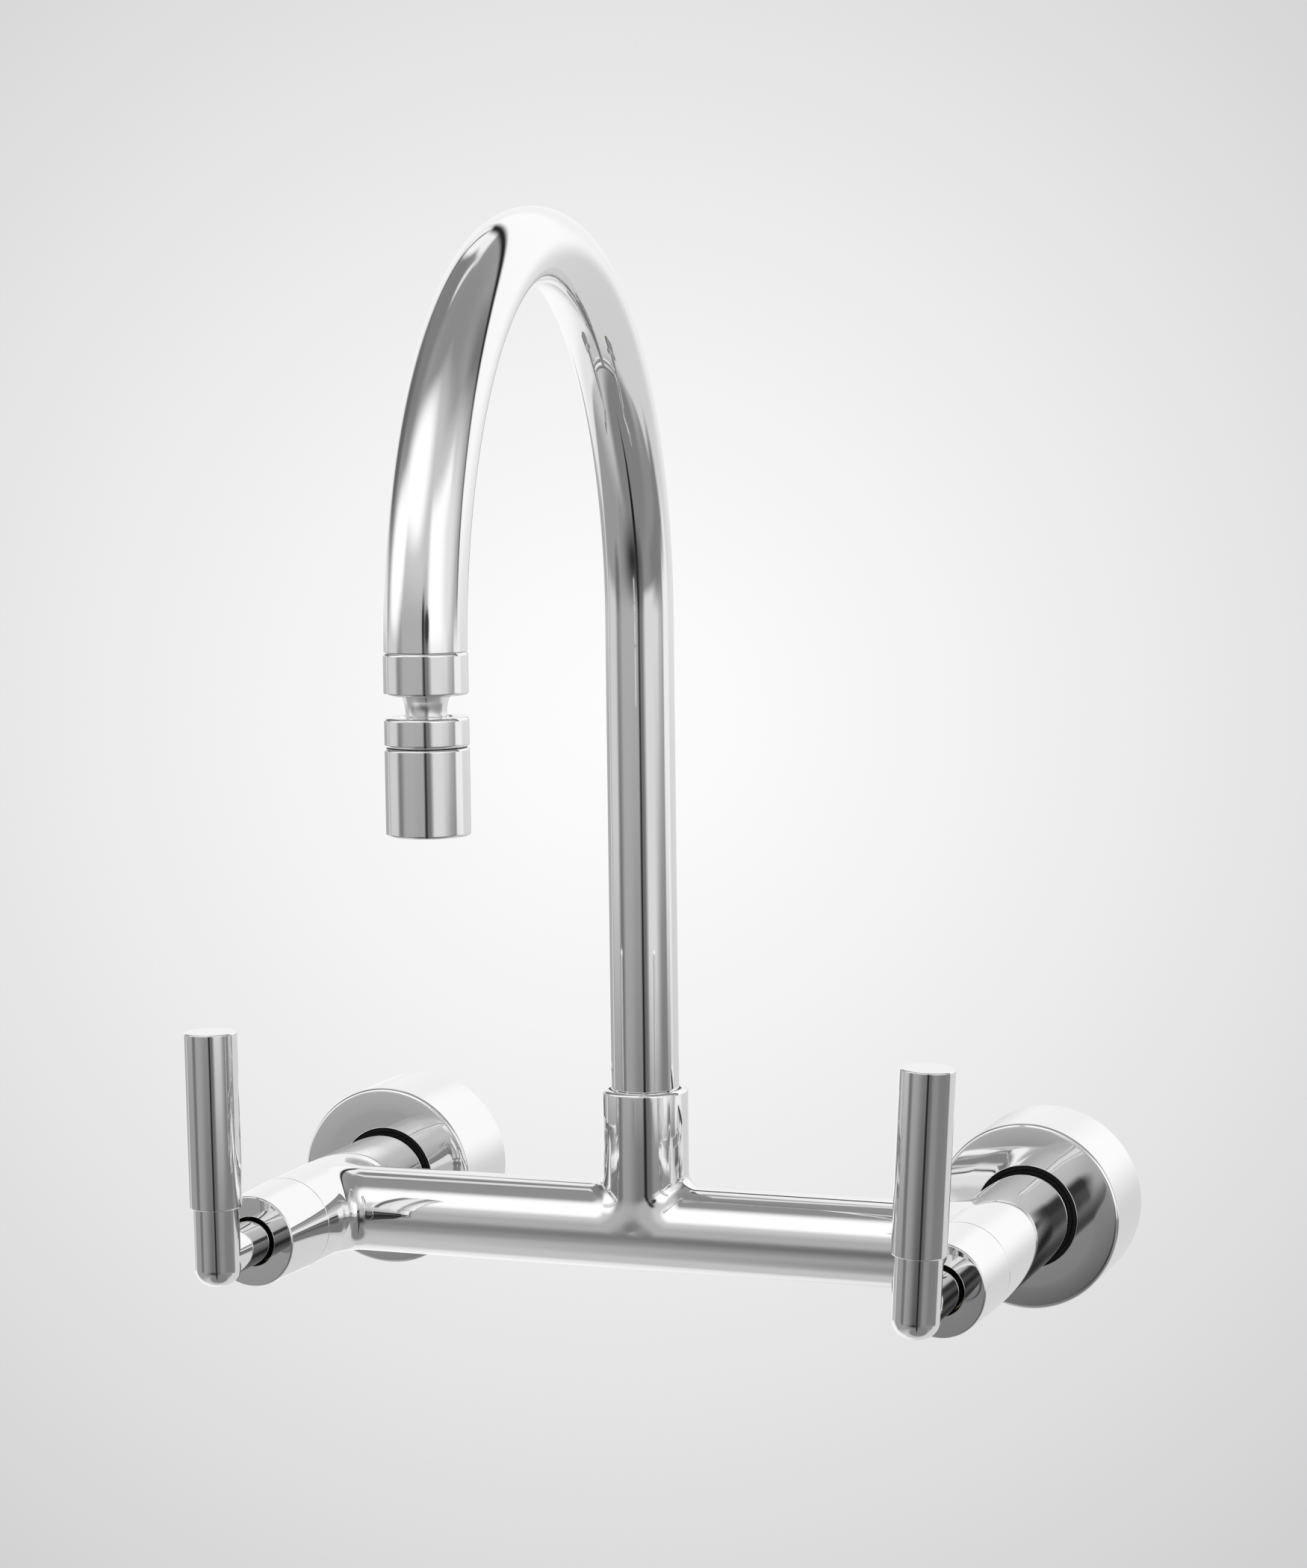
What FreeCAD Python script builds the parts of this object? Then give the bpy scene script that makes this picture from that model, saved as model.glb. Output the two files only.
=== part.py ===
import FreeCAD, Part
import math
import os
import Sketcher

# Wall-mounted bridge faucet for a kitchen sink: two wall inlets, a cast bridge with a quarter-turn valve on
# each side, and a swinging gooseneck spout with a ball-jointed aerator.
#
# Frame: the origin is midway between the two inlets, on the finished wall, level with their axes. +X is to
# the right seen from the front, +Z is up, and the faucet stands out of the wall towards -Y. Pieces on an
# inlet's axis are turned about their own upright axis, which then lies forwards, out of the wall.

SIZES = {
    # Whole faucet
    "inlet_spacing": 200.0,
    "bridge_standoff": 72.8,
    "running_gap": 0.05,
    "overrun": 1.0,
    # Wall union
    "union_shank_diameter": 20.96,
    "union_shank_length": 12.0,
    "union_hex_start": 0.5,
    "union_hex_thick": 4.0,
    "union_hex_flats": 24.0,
    "union_thread_diameter": 26.44,
    "union_thread_length": 7.0,
    "union_relief_width": 1.4,
    "union_relief_depth": 0.9,
    "union_bore": 15.0,
    "hex_chamfer": 0.8,
    # Washer, leg and union nut
    "washer_thick": 2.0,
    "collar_gap": 1.4,
    "collar_thick": 2.0,
    "tail_neck_length": 3.5,
    "tail_neck_wall": 2.0,
    "leg_bore": 16.0,
    "leg_spigot_diameter": 22.0,
    "leg_spigot_length": 5.0,
    "leg_spigot_play": 0.5,
    "nut_lip": 2.5,
    "nut_lip_gap": 0.25,
    "nut_wall": 1.73,
    "nut_engagement": 5.0,
    # Wall flange
    "flange_diameter": 54.0,
    "flange_depth": 30.0,
    "flange_wall": 1.5,
    "flange_gap": 1.35,
    "flange_lip": 1.7,
    "flange_edge_round": 1.2,
    "flange_hole_round": 0.6,
    "flange_ring_section": 3.0,
    "ring_play": 0.2,
    "flange_boss_wall": 2.4,
    # Cast body
    "bridge_diameter": 24.7,
    "bridge_bore": 16.0,
    "housing_back": 16.8,
    "housing_front": 27.7,
    "housing_blend": 5.0,
    "boss_height": 40.1,
    "boss_blend": 6.0,
    "boss_wall": 1.7,
    "boss_edge_round": 1.0,
    "bonnet_spigot_length": 5.0,
    "bonnet_spigot_wall": 1.85,
    # Valve chamber and headwork
    "valve_thread_diameter": 20.0,
    "valve_thread_length": 17.5,
    "valve_floor_back": 8.3,
    "valve_port": 11.0,
    "chamber_step": 0.4,
    "skirt_gap": 0.3,
    "skirt_lift": 1.0,
    "cage_wall": 0.9,
    "disc_gap": 0.2,
    "disc_thick": 3.2,
    "disc_rim": 1.6,
    "disc_lug_width": 4.0,
    "disc_lug_height": 0.8,
    "port_inner_radius": 2.2,
    "seal_thick": 2.5,
    "bar_width": 4.4,
    "bar_height": 3.6,
    "bar_sink": 1.5,
    "spindle_collar_thick": 2.0,
    "spindle_collar_step": 1.15,
    "thrust_washer_thick": 0.6,
    "window_width": 12.0,
    "headwork_bore": 11.0,
    "headwork_gasket_thick": 1.0,
    "headwork_flange_thick": 1.5,
    "headwork_flange_gap": 0.3,
    "headwork_flats": 17.0,
    "headwork_hex_height": 4.5,
    "headwork_neck_wall": 1.5,
    "headwork_neck_height": 4.0,
    "spindle_ring_section": 1.8,
    "spindle_ring_depth": 24.5,
    "spindle_ring_pitch": 5.0,
    "clip_gap": 0.1,
    "clip_thick": 0.8,
    "clip_sink": 1.05,
    "spindle_shoulder": 0.6,
    "spline_diameter": 7.9,
    "spline_length": 16.0,
    "spline_end_gap": 1.0,
    # Bonnet cover
    "bonnet_length": 23.0,
    "bonnet_wall": 1.6,
    "bonnet_taper": 0.6,
    "bonnet_plate": 3.0,
    "bonnet_edge_round": 0.5,
    "parting_edge_round": 0.25,
    "stem_gap": 0.75,
    # Lever
    "lever_reach": 20.8,
    "rod_diameter": 12.7,
    "rod_drop": 7.7,
    "rod_end_round": 5.0,
    "sleeve_start": 14.25,
    "sleeve_length": 48.85,
    "sleeve_step": 0.95,
    "sleeve_edge": 0.4,
    "core_diameter": 10.0,
    "core_length": 36.0,
    "core_play": 1.0,
    "lever_screw_diameter": 4.0,
    "lever_screw_along": 12.5,
    "lever_screw_sink": 0.3,
    "lever_screw_key": 2.0,
    "lever_screw_key_depth": 1.2,
    # Spout
    "spout_tube_diameter": 19.4,
    "spout_tube_wall": 1.2,
    "spout_reach": 196.7,
    "spout_bend_height": 174.7,
    "spout_end_rise": 2.3,
    "bearing_depth": 7.1,
    "swivel_step": 0.3,
    "swivel_depth": 20.0,
    "swivel_rest_thick": 1.0,
    "swivel_rest_inset": 0.5,
    "swivel_rest_gap": 0.1,
    "swivel_bore": 12.6,
    "swivel_spigot_length": 9.0,
    "swivel_ring_section": 1.9,
    "swivel_ring_drop": 7.2,
    "swivel_ring_pitch": 4.5,
    "boss_passage": 14.0,
    "bearing_step": 0.45,
    "bearing_recess": 0.4,
    "spout_screw_diameter": 4.9,
    "spout_screw_drop": 3.8,
    "spout_screw_tip_diameter": 2.6,
    "spout_screw_tip_gap": 0.3,
    "spout_screw_sink": 0.2,
    "spout_screw_key": 2.5,
    "spout_screw_key_depth": 1.2,
    "retainer_groove_width": 3.2,
    "retainer_groove_depth": 2.1,
    # Nozzle
    "nozzle_step": 0.15,
    "nozzle_collar_height": 10.0,
    "nozzle_edge": 0.4,
    "nozzle_top_edge": 0.25,
    "nozzle_spigot_length": 3.0,
    "nozzle_spigot_gap": 0.3,
    "nozzle_bore": 13.0,
    "nozzle_thread_depth": 6.5,
    "nozzle_thread_diameter": 15.0,
    "nozzle_gasket_thick": 1.5,
    "nozzle_gasket_bore": 8.0,
    "neck_length": 5.0,
    "neck_root_diameter": 10.0,
    "neck_root_length": 2.2,
    "neck_diameter": 8.9,
    "ball_bore": 6.0,
    "ball_depth": 5.4,
    "ring_wall": 0.8,
    "socket_wall": 1.25,
    "ball_seat_thick": 0.95,
    "mouth_gap": 1.95,
    "socket_ring_height": 6.8,
    "socket_step_height": 1.9,
    "socket_ring_groove": 0.5,
    "aerator_height": 20.15,
    "aerator_end_round": 0.6,
    "pocket_hole": 7.2,
    "pocket_web": 1.5,
    "aerator_wall": 1.4,
    "aerator_gasket_thick": 1.5,
    "aerator_gasket_width": 2.5,
    "insert_recess": 0.65,
    "insert_plate": 3.0,
    "insert_wall": 1.2,
    "insert_ledge_width": 0.85,
    "insert_ledge_height": 4.0,
    "outlet_hole_diameter": 1.6,
    "outlet_ring_radius": 2.5,
    "screen_thick": 0.4,
    "screen_pitch": 0.5,
}

# Angles in degrees, as the photographed faucet stands
SPOUT_SWING = 5.7
LEVER_LEANS = {"left": -0.5, "right": 3.0}
PORT_SPAN = 80.0
FULL_TURN = 360.0

# Shares of the size named beside them
HEX_CORNER_SHARE = 1 / math.sqrt(3)
HEX_CHAMFER_SLOPE_SHARE = 0.58
LIP_HEIGHT_OF_BALL_SHARE = 0.485
SEAT_TOP_OF_BALL_SHARE = 0.06
SEAT_FOOT_OF_BALL_SHARE = 0.72
BALL_FOOT_OF_BALL_SHARE = 0.85
POCKET_FOOT_OF_POCKET_SHARE = 0.86

SCREEN_COUNT = 3
OUTLET_RING_COUNTS = (6, 12)

FORWARD = FreeCAD.Rotation(FreeCAD.Vector(1, 0, 0), 90)
BACKWARD = FreeCAD.Rotation(FreeCAD.Vector(1, 0, 0), -90)
UPRIGHT = FreeCAD.Rotation()

# How near two lengths are counted as one
TINY = 1e-9
EDGE_MATCH = 1e-4

doc = FreeCAD.newDocument("bridge_faucet")
sheet = doc.addObject("Spreadsheet::Sheet", "Sizes")
for row, (alias, value) in enumerate(SIZES.items(), start=1):
    sheet.set(f"A{row}", alias)
    sheet.set(f"B{row}", str(value))
    sheet.setAlias(f"B{row}", alias)
doc.recompute()

nodes = []


class Size:
    """A length worked out from the sheet: its value, and the expression that binds a feature to it."""

    def __init__(self, text, value):
        self.text = text
        self.value = value

    def __add__(self, other):
        return Size(f"({self.text} + {other.text})", self.value + other.value)

    def __sub__(self, other):
        return Size(f"({self.text} - {other.text})", self.value - other.value)

    def __mul__(self, share):
        return Size(f"({self.text} * {share!r})", self.value * share)

    def __truediv__(self, parts):
        return Size(f"({self.text} / {parts!r})", self.value / parts)

    def __neg__(self):
        return Size(f"(-{self.text})", -self.value)

    def leg(self, other):
        """The other leg of a right triangle that has this length as its longest side."""
        text = f"sqrt({self.text} * {self.text} - {other.text} * {other.text})"
        return Size(text, math.sqrt(self.value ** 2 - other.value ** 2))


class Sheet:
    """The sizes of the sheet by their alias."""

    def __getattr__(self, alias):
        return Size(f"Sizes.{alias}", SIZES[alias])


sizes = Sheet()
zero = Size("0", 0.0)


# Sketches and features shared by the pieces

def new_body(name):
    """An empty body that becomes the node of this name."""
    body = doc.addObject("PartDesign::Body", name)
    body.Label = name
    nodes.append(body)
    return body


def origin_feature(body, role):
    """The body's own origin plane or axis."""
    return next(part for part in body.Origin.OriginFeatures if part.Role == role)


def new_sketch(body, name, role="XZ_Plane", lift=None, shift=None):
    """A sketch on an origin plane, lifted along its normal or shifted along its own first direction."""
    sketch = body.newObject("Sketcher::SketchObject", name)
    sketch.AttachmentSupport = [(origin_feature(body, role), "")]
    sketch.MapMode = "FlatFace"
    if lift:
        sketch.setExpression(".AttachmentOffset.Base.z", lift.text)
    if shift:
        sketch.setExpression(".AttachmentOffset.Base.x", shift.text)
    return sketch


def add_bound(sketch, rules):
    """Adds the constraints, each with the size that drives it or None."""
    indexes = sketch.addConstraint([rule for rule, _ in rules])
    for index, (_, size) in zip(indexes, rules):
        if size is not None:
            sketch.setExpression(f"Constraints[{index}]", size.text)


def point_rules(geometry, end, across, up):
    """Constraints that hold one end of a side at its distances from the sketch's origin."""
    rules = []
    if across is not None:
        if abs(across.value) < TINY:
            rules.append((Sketcher.Constraint("PointOnObject", geometry, end, -2), None))
        else:
            rules.append((Sketcher.Constraint("DistanceX", -1, 1, geometry, end, across.value), across))
    if abs(up.value) < TINY:
        rules.append((Sketcher.Constraint("PointOnObject", geometry, end, -1), None))
    else:
        rules.append((Sketcher.Constraint("DistanceY", -1, 1, geometry, end, up.value), up))
    return rules


def outline(sketch, corners, arcs=None):
    """Closed outline through corners given as (across, up).

    arcs maps a side's number to (centre height, radius): an arc about a point of the upright axis. A corner
    beside an arc has None for its distance across, because the arc sets it.
    """
    arcs = arcs or {}
    first = sketch.GeometryCount
    places = []
    for index, (across, up) in enumerate(corners):
        if across is None:
            centre, radius = arcs[index if index in arcs else (index - 1) % len(corners)]
            reach = math.sqrt(radius.value ** 2 - (up.value - centre.value) ** 2)
        else:
            reach = across.value
        places.append(FreeCAD.Vector(reach, up.value, 0))
    rules = []
    ends = []
    for index, start in enumerate(places):
        finish = places[(index + 1) % len(places)]
        geometry = first + index
        if index not in arcs:
            sketch.addGeometry(Part.LineSegment(start, finish), False)
            ends.append((1, 2))
            continue
        centre, radius = arcs[index]
        hub = FreeCAD.Vector(0, centre.value, 0)
        begin = math.atan2(start.y - hub.y, start.x - hub.x)
        end = math.atan2(finish.y - hub.y, finish.x - hub.x)
        anticlockwise = (end - begin) % math.tau < math.pi
        if not anticlockwise:
            begin, end = end, begin
        circle = Part.Circle(hub, FreeCAD.Vector(0, 0, 1), radius.value)
        sketch.addGeometry(Part.ArcOfCircle(circle, begin, end), False)
        ends.append((1, 2) if anticlockwise else (2, 1))
        rules += point_rules(geometry, 3, zero, centre)
        rules.append((Sketcher.Constraint("Radius", geometry, radius.value), radius))
    for index, (across, up) in enumerate(corners):
        following = (index + 1) % len(corners)
        joint = Sketcher.Constraint("Coincident", first + index, ends[index][1],
                                    first + following, ends[following][0])
        rules.append((joint, None))
        rules += point_rules(first + index, ends[index][0], across, up)
    add_bound(sketch, rules)


def circle(sketch, radius, across=zero, up=zero):
    """A full circle about a point of the sketch."""
    centre = FreeCAD.Vector(across.value, up.value, 0)
    geometry = sketch.addGeometry(Part.Circle(centre, FreeCAD.Vector(0, 0, 1), radius.value), False)
    rules = point_rules(geometry, 3, across, up)
    rules.append((Sketcher.Constraint("Radius", geometry, radius.value), radius))
    add_bound(sketch, rules)


def rectangle(sketch, width, low, high):
    """A rectangle astride the upright axis, between two heights."""
    half = width / 2
    outline(sketch, [(-half, low), (half, low), (half, high), (-half, high)])


def hexagon(sketch, flats):
    """A regular hexagon with two flats upright, by its width across flats."""
    corners = []
    for corner in range(6):
        angle = math.radians(60 * corner + 30)
        across = flats * (HEX_CORNER_SHARE * math.cos(angle))
        up = flats * (HEX_CORNER_SHARE * math.sin(angle))
        corners.append((across, up))
    outline(sketch, corners)


def pad(body, name, sketch, length, symmetric=False):
    """Pads the sketch along its normal, or both ways."""
    feature = body.newObject("PartDesign::Pad", name)
    feature.Profile = sketch
    if symmetric:
        feature.SideType = "Symmetric"
    feature.setExpression("Length", length.text)
    return feature


def pocket(body, name, sketch, length, symmetric=False):
    """Cuts the sketch against its normal, or both ways, and checks that it took material away."""
    doc.recompute()
    before = body.Shape.Volume
    feature = body.newObject("PartDesign::Pocket", name)
    feature.Profile = sketch
    if symmetric:
        feature.SideType = "Symmetric"
    feature.setExpression("Length", length.text)
    doc.recompute()
    if body.Shape.Volume >= before:
        raise RuntimeError(f"{name} cuts nothing")
    return feature


def revolve(body, name, sketch, cut=False, span=FULL_TURN):
    """Turns the sketch about its upright axis, as a solid or as a cut."""
    feature = body.newObject("PartDesign::Groove" if cut else "PartDesign::Revolution", name)
    feature.Profile = sketch
    feature.ReferenceAxis = (sketch, ["V_Axis"])
    feature.Angle = span
    feature.Midplane = span < FULL_TURN
    return feature


def turned(name, corners, arcs=None):
    """A body turned about its upright axis from a half outline of (radius, height) corners."""
    body = new_body(name)
    sketch = new_sketch(body, f"{name}_outline")
    outline(sketch, corners, arcs)
    revolve(body, f"{name}_turning", sketch)
    return body


def turned_cut(body, name, corners):
    """Turns a groove or bore out of the body."""
    sketch = new_sketch(body, f"{name}_outline")
    outline(sketch, corners)
    return revolve(body, name, sketch, cut=True)


def ring(name, inner, outer, low, high):
    """A plain flat ring."""
    return turned(name, [(inner, low), (outer, low), (outer, high), (inner, high)])


def circular_edges(body, radius, height):
    """Names of the body's circular edges of this radius at this height on the upright axis."""
    names = []
    for index, edge in enumerate(body.Shape.Edges, start=1):
        curve = edge.Curve
        if not isinstance(curve, Part.Circle):
            continue
        centre = body.Placement.inverse().multVec(curve.Center)
        if abs(curve.Radius - radius.value) < EDGE_MATCH and abs(centre.z - height.value) < EDGE_MATCH:
            names.append(f"Edge{index}")
    return names


def round_edges(body, name, edges, size):
    """Rounds the named edges."""
    if not edges:
        raise RuntimeError(f"{name} finds no edge")
    base = body.Tip
    feature = body.newObject("PartDesign::Fillet", name)
    feature.Base = (base, edges)
    feature.setExpression("Radius", size.text)
    return feature


def round_rims(body, rims, size):
    """Rounds circular rims, each given as (radius, height)."""
    doc.recompute()
    edges = []
    for radius, height in rims:
        edges += circular_edges(body, radius, height)
    return round_edges(body, f"{body.Name}_rims_{len(body.Group)}", edges, size)


def drill(body, name, radius, length, at, rotation):
    """A round hole of this length from a point, along the rotated upright direction."""
    feature = body.newObject("PartDesign::SubtractiveCylinder", name)
    feature.Placement = FreeCAD.Placement(FreeCAD.Vector(), rotation)
    for direction, size in zip("xyz", at):
        feature.setExpression(f".Placement.Base.{direction}", size.text)
    feature.setExpression("Radius", radius.text)
    feature.setExpression("Height", length.text)
    return feature


def flats_cut(body, name, flats, blank, start, height):
    """Mills a hexagon on a turned blank, between two heights."""
    sketch = new_sketch(body, f"{name}_outline", "XY_Plane", lift=start + height)
    circle(sketch, blank + sizes.overrun)
    hexagon(sketch, flats)
    return pocket(body, name, sketch, height)


def key_socket(body, name, flats, depth, top):
    """A hexagon socket for a key, sunk from the top of an upright screw."""
    sketch = new_sketch(body, f"{name}_outline", "XY_Plane", lift=top)
    hexagon(sketch, flats)
    return pocket(body, name, sketch, depth)


def mirror_feature(body, name, feature):
    """Repeats a right-hand feature on the left."""
    doc.recompute()
    mirror = body.newObject("PartDesign::Mirrored", name)
    mirror.Originals = [feature]
    mirror.MirrorPlane = (origin_feature(body, "YZ_Plane"), [""])
    body.Tip = mirror
    doc.recompute()
    return mirror


def polar(body, name, feature, count):
    """Repeats a feature round the body's upright axis."""
    doc.recompute()
    pattern = body.newObject("PartDesign::PolarPattern", name)
    pattern.Originals = [feature]
    pattern.Axis = (origin_feature(body, "Z_Axis"), [""])
    pattern.Angle = FULL_TURN
    pattern.Occurrences = count
    body.Tip = pattern
    return pattern


def place(body, across, along, up, rotation):
    """Puts the body's own origin at a point of the faucet's frame."""
    body.Placement = FreeCAD.Placement(FreeCAD.Vector(), rotation)
    for direction, size in zip("xyz", (across, along, up)):
        body.setExpression(f".Placement.Base.{direction}", size.text)


def hex_blank_corners(radius, low, high):
    """The outer corners of a turned blank whose two rims are chamfered for a hexagon, from low to high."""
    slope = sizes.hex_chamfer * HEX_CHAMFER_SLOPE_SHARE
    inner = radius - sizes.hex_chamfer
    return [(inner, low), (radius, low + slope), (radius, high - slope), (inner, high)]


def o_ring(name, section, ring_radius, height):
    """One rubber ring of round section."""
    torus = doc.addObject("Part::Torus", name)
    torus.setExpression("Radius1", ring_radius.text)
    torus.setExpression("Radius2", (section / 2).text)
    torus.setExpression(".Placement.Base.z", height.text)
    return torus


def o_ring_pair(name, section, ring_radius, first, pitch):
    """Two equal rubber rings on one axis, kept together as one node."""
    pair = doc.addObject("Part::Compound", name)
    pair.Label = name
    pair.Links = [o_ring(f"{name}_near", section, ring_radius, first),
                  o_ring(f"{name}_far", section, ring_radius, first + pitch)]
    nodes.append(pair)
    return pair


# Places along an inlet's axis, forwards from the wall

union_seat = sizes.union_hex_start + sizes.union_hex_thick + sizes.union_thread_length
washer_front = union_seat + sizes.washer_thick
collar_front = washer_front + sizes.collar_thick
leg_full_start = collar_front + sizes.tail_neck_length
housing_rear = sizes.bridge_standoff - sizes.housing_back
parting = sizes.bridge_standoff + sizes.housing_front
valve_floor = sizes.bridge_standoff - sizes.valve_floor_back
fixed_disc_back = valve_floor + sizes.seal_thick
moving_disc_back = fixed_disc_back + sizes.disc_thick
bar_back = moving_disc_back + sizes.disc_thick
collar_back = bar_back + sizes.bar_height
thrust_back = collar_back + sizes.spindle_collar_thick
cage_ceiling = thrust_back + sizes.thrust_washer_thick
spigot_front = parting + sizes.bonnet_spigot_length
gasket_front = spigot_front + sizes.headwork_gasket_thick
hex_back = gasket_front + sizes.headwork_flange_thick
hex_front = hex_back + sizes.headwork_hex_height
neck_front = hex_front + sizes.headwork_neck_height
clip_back = neck_front + sizes.clip_gap
clip_front = clip_back + sizes.clip_thick
stem_back = clip_front + sizes.spindle_shoulder
bonnet_front = parting + sizes.bonnet_length
lever_axis = bonnet_front + sizes.lever_reach

# Radii about an inlet's axis, from the inside out

valve_thread_radius = sizes.valve_thread_diameter / 2
spigot_radius = valve_thread_radius + sizes.bonnet_spigot_wall
bonnet_inner_radius = spigot_radius + sizes.running_gap
housing_radius = bonnet_inner_radius + sizes.bonnet_wall
chamber_radius = valve_thread_radius - sizes.chamber_step
skirt_radius = chamber_radius - sizes.skirt_gap
cage_radius = skirt_radius - sizes.cage_wall
disc_radius = cage_radius - sizes.disc_gap
port_radius = disc_radius - sizes.disc_rim
headwork_bore_radius = sizes.headwork_bore / 2
journal_radius = headwork_bore_radius - sizes.running_gap
collar_radius = journal_radius + sizes.spindle_collar_step
union_thread_radius = sizes.union_thread_diameter / 2
tail_collar_radius = union_thread_radius - sizes.collar_gap
tail_neck_radius = sizes.leg_bore / 2 + sizes.tail_neck_wall
rod_radius = sizes.rod_diameter / 2


def make_wall_union(name):
    """Turned union with a hexagon: its shank screws into the wall, its front thread takes the nut."""
    shank = sizes.union_shank_diameter / 2
    bore = sizes.union_bore / 2
    blank = sizes.union_hex_flats * HEX_CORNER_SHARE
    hex_start = sizes.union_hex_start
    hex_end = hex_start + sizes.union_hex_thick
    relief = union_thread_radius - sizes.union_relief_depth
    relief_end = hex_end + sizes.union_relief_width
    corners = [(bore, -sizes.union_shank_length), (shank, -sizes.union_shank_length), (shank, hex_start)]
    corners += hex_blank_corners(blank, hex_start, hex_end)
    corners += [(relief, hex_end), (relief, relief_end), (union_thread_radius, relief_end),
                (union_thread_radius, union_seat), (bore, union_seat)]
    body = turned(name, corners)
    flats_cut(body, f"{name}_flats", sizes.union_hex_flats, blank, hex_start, sizes.union_hex_thick)
    return body


def make_union_nut(name):
    """Hexagon nut with an inward lip that pulls the leg's collar onto the washer."""
    thread = union_thread_radius + sizes.running_gap
    flats = (thread + sizes.nut_wall) * 2
    blank = flats * HEX_CORNER_SHARE
    front = collar_front + sizes.nut_lip
    back = union_seat - sizes.nut_engagement
    hole = tail_neck_radius + sizes.nut_lip_gap
    corners = [(thread, back)] + hex_blank_corners(blank, back, front)
    corners += [(hole, front), (hole, collar_front), (thread, collar_front)]
    body = turned(name, corners)
    flats_cut(body, f"{name}_flats", flats, blank, back, front - back)
    return body


def make_leg(name):
    """Turned inlet leg, flush with the housing, with its collar behind and its spigot in front."""
    bore = sizes.leg_bore / 2
    spigot = sizes.leg_spigot_diameter / 2
    spigot_end = housing_rear + sizes.leg_spigot_length
    return turned(name, [
        (bore, washer_front),
        (tail_collar_radius, washer_front),
        (tail_collar_radius, collar_front),
        (tail_neck_radius, collar_front),
        (tail_neck_radius, leg_full_start),
        (housing_radius, leg_full_start),
        (housing_radius, housing_rear),
        (spigot, housing_rear),
        (spigot, spigot_end),
        (bore, spigot_end),
    ])


def make_flange(name):
    """Deep turned cup with an inner boss round its bore, grooved for the rubber ring."""
    outer = sizes.flange_diameter / 2
    inner = outer - sizes.flange_wall
    hole = housing_radius + sizes.flange_gap
    groove = housing_radius + sizes.flange_ring_section + sizes.running_gap * 2
    boss = groove + sizes.flange_boss_wall
    front = sizes.flange_depth
    plate_back = front - sizes.flange_lip
    groove_back = plate_back - sizes.flange_ring_section - sizes.ring_play
    boss_back = groove_back - sizes.flange_wall
    body = turned(name, [
        (inner, zero),
        (outer, zero),
        (outer, front),
        (hole, front),
        (hole, plate_back),
        (groove, plate_back),
        (groove, groove_back),
        (hole, groove_back),
        (hole, boss_back),
        (boss, boss_back),
        (boss, plate_back),
        (inner, plate_back),
    ])
    round_rims(body, [(outer, front)], sizes.flange_edge_round)
    round_rims(body, [(hole, front)], sizes.flange_hole_round)
    return body


def make_flange_ring(name):
    """Rubber ring for the flange's groove, about its own centre."""
    section = sizes.flange_ring_section
    torus = o_ring(name, section, housing_radius + sizes.running_gap + section / 2, zero)
    torus.Label = name
    nodes.append(torus)
    return torus


def make_bonnet_cover(name):
    """Tapered cap over the headwork, with the lever's round opening in its front."""
    front_radius = housing_radius - sizes.bonnet_taper
    hole = rod_radius + sizes.stem_gap
    plate_back = bonnet_front - sizes.bonnet_plate
    body = turned(name, [
        (bonnet_inner_radius, parting),
        (housing_radius, parting),
        (front_radius, bonnet_front),
        (hole, bonnet_front),
        (hole, plate_back),
        (bonnet_inner_radius, plate_back),
    ])
    round_rims(body, [(front_radius, bonnet_front)], sizes.bonnet_edge_round)
    round_rims(body, [(hole, bonnet_front)], sizes.bonnet_edge_round)
    round_rims(body, [(housing_radius, parting)], sizes.parting_edge_round)
    return body


def make_headwork(name):
    """Brass headwork: disc cage with two outlet windows, thread, flange, hexagon and neck."""
    skirt_back = valve_floor + sizes.skirt_lift
    thread = valve_thread_radius - sizes.running_gap
    thread_back = spigot_front - sizes.valve_thread_length
    flange = spigot_radius - sizes.headwork_flange_gap
    neck = headwork_bore_radius + sizes.headwork_neck_wall
    blank = sizes.headwork_flats * HEX_CORNER_SHARE
    corners = [(cage_radius, skirt_back), (skirt_radius, skirt_back), (skirt_radius, thread_back),
               (thread, thread_back), (thread, gasket_front), (flange, gasket_front), (flange, hex_back)]
    corners += hex_blank_corners(blank, hex_back, hex_front)
    corners += [(neck, hex_front), (neck, neck_front), (headwork_bore_radius, neck_front),
                (headwork_bore_radius, cage_ceiling), (cage_radius, cage_ceiling)]
    body = turned(name, corners)
    flats_cut(body, f"{name}_flats", sizes.headwork_flats, blank, hex_back, sizes.headwork_hex_height)
    through = skirt_radius * 2 + sizes.overrun
    windows = new_sketch(body, f"{name}_windows_outline", "YZ_Plane")
    rectangle(windows, sizes.window_width, bar_back, cage_ceiling)
    pocket(body, f"{name}_windows", windows, through, symmetric=True)
    slots = new_sketch(body, f"{name}_lug_slots_outline", "YZ_Plane")
    slot_width = sizes.disc_lug_width + sizes.running_gap * 2
    rectangle(slots, slot_width, skirt_back - sizes.overrun, moving_disc_back)
    pocket(body, f"{name}_lug_slots", slots, through, symmetric=True)
    return body


def make_headwork_gasket(name):
    """Sealing ring between the housing's front and the headwork's flange."""
    inner = valve_thread_radius + sizes.running_gap
    outer = spigot_radius - sizes.headwork_flange_gap
    return ring(name, inner, outer, spigot_front, gasket_front)


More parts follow.
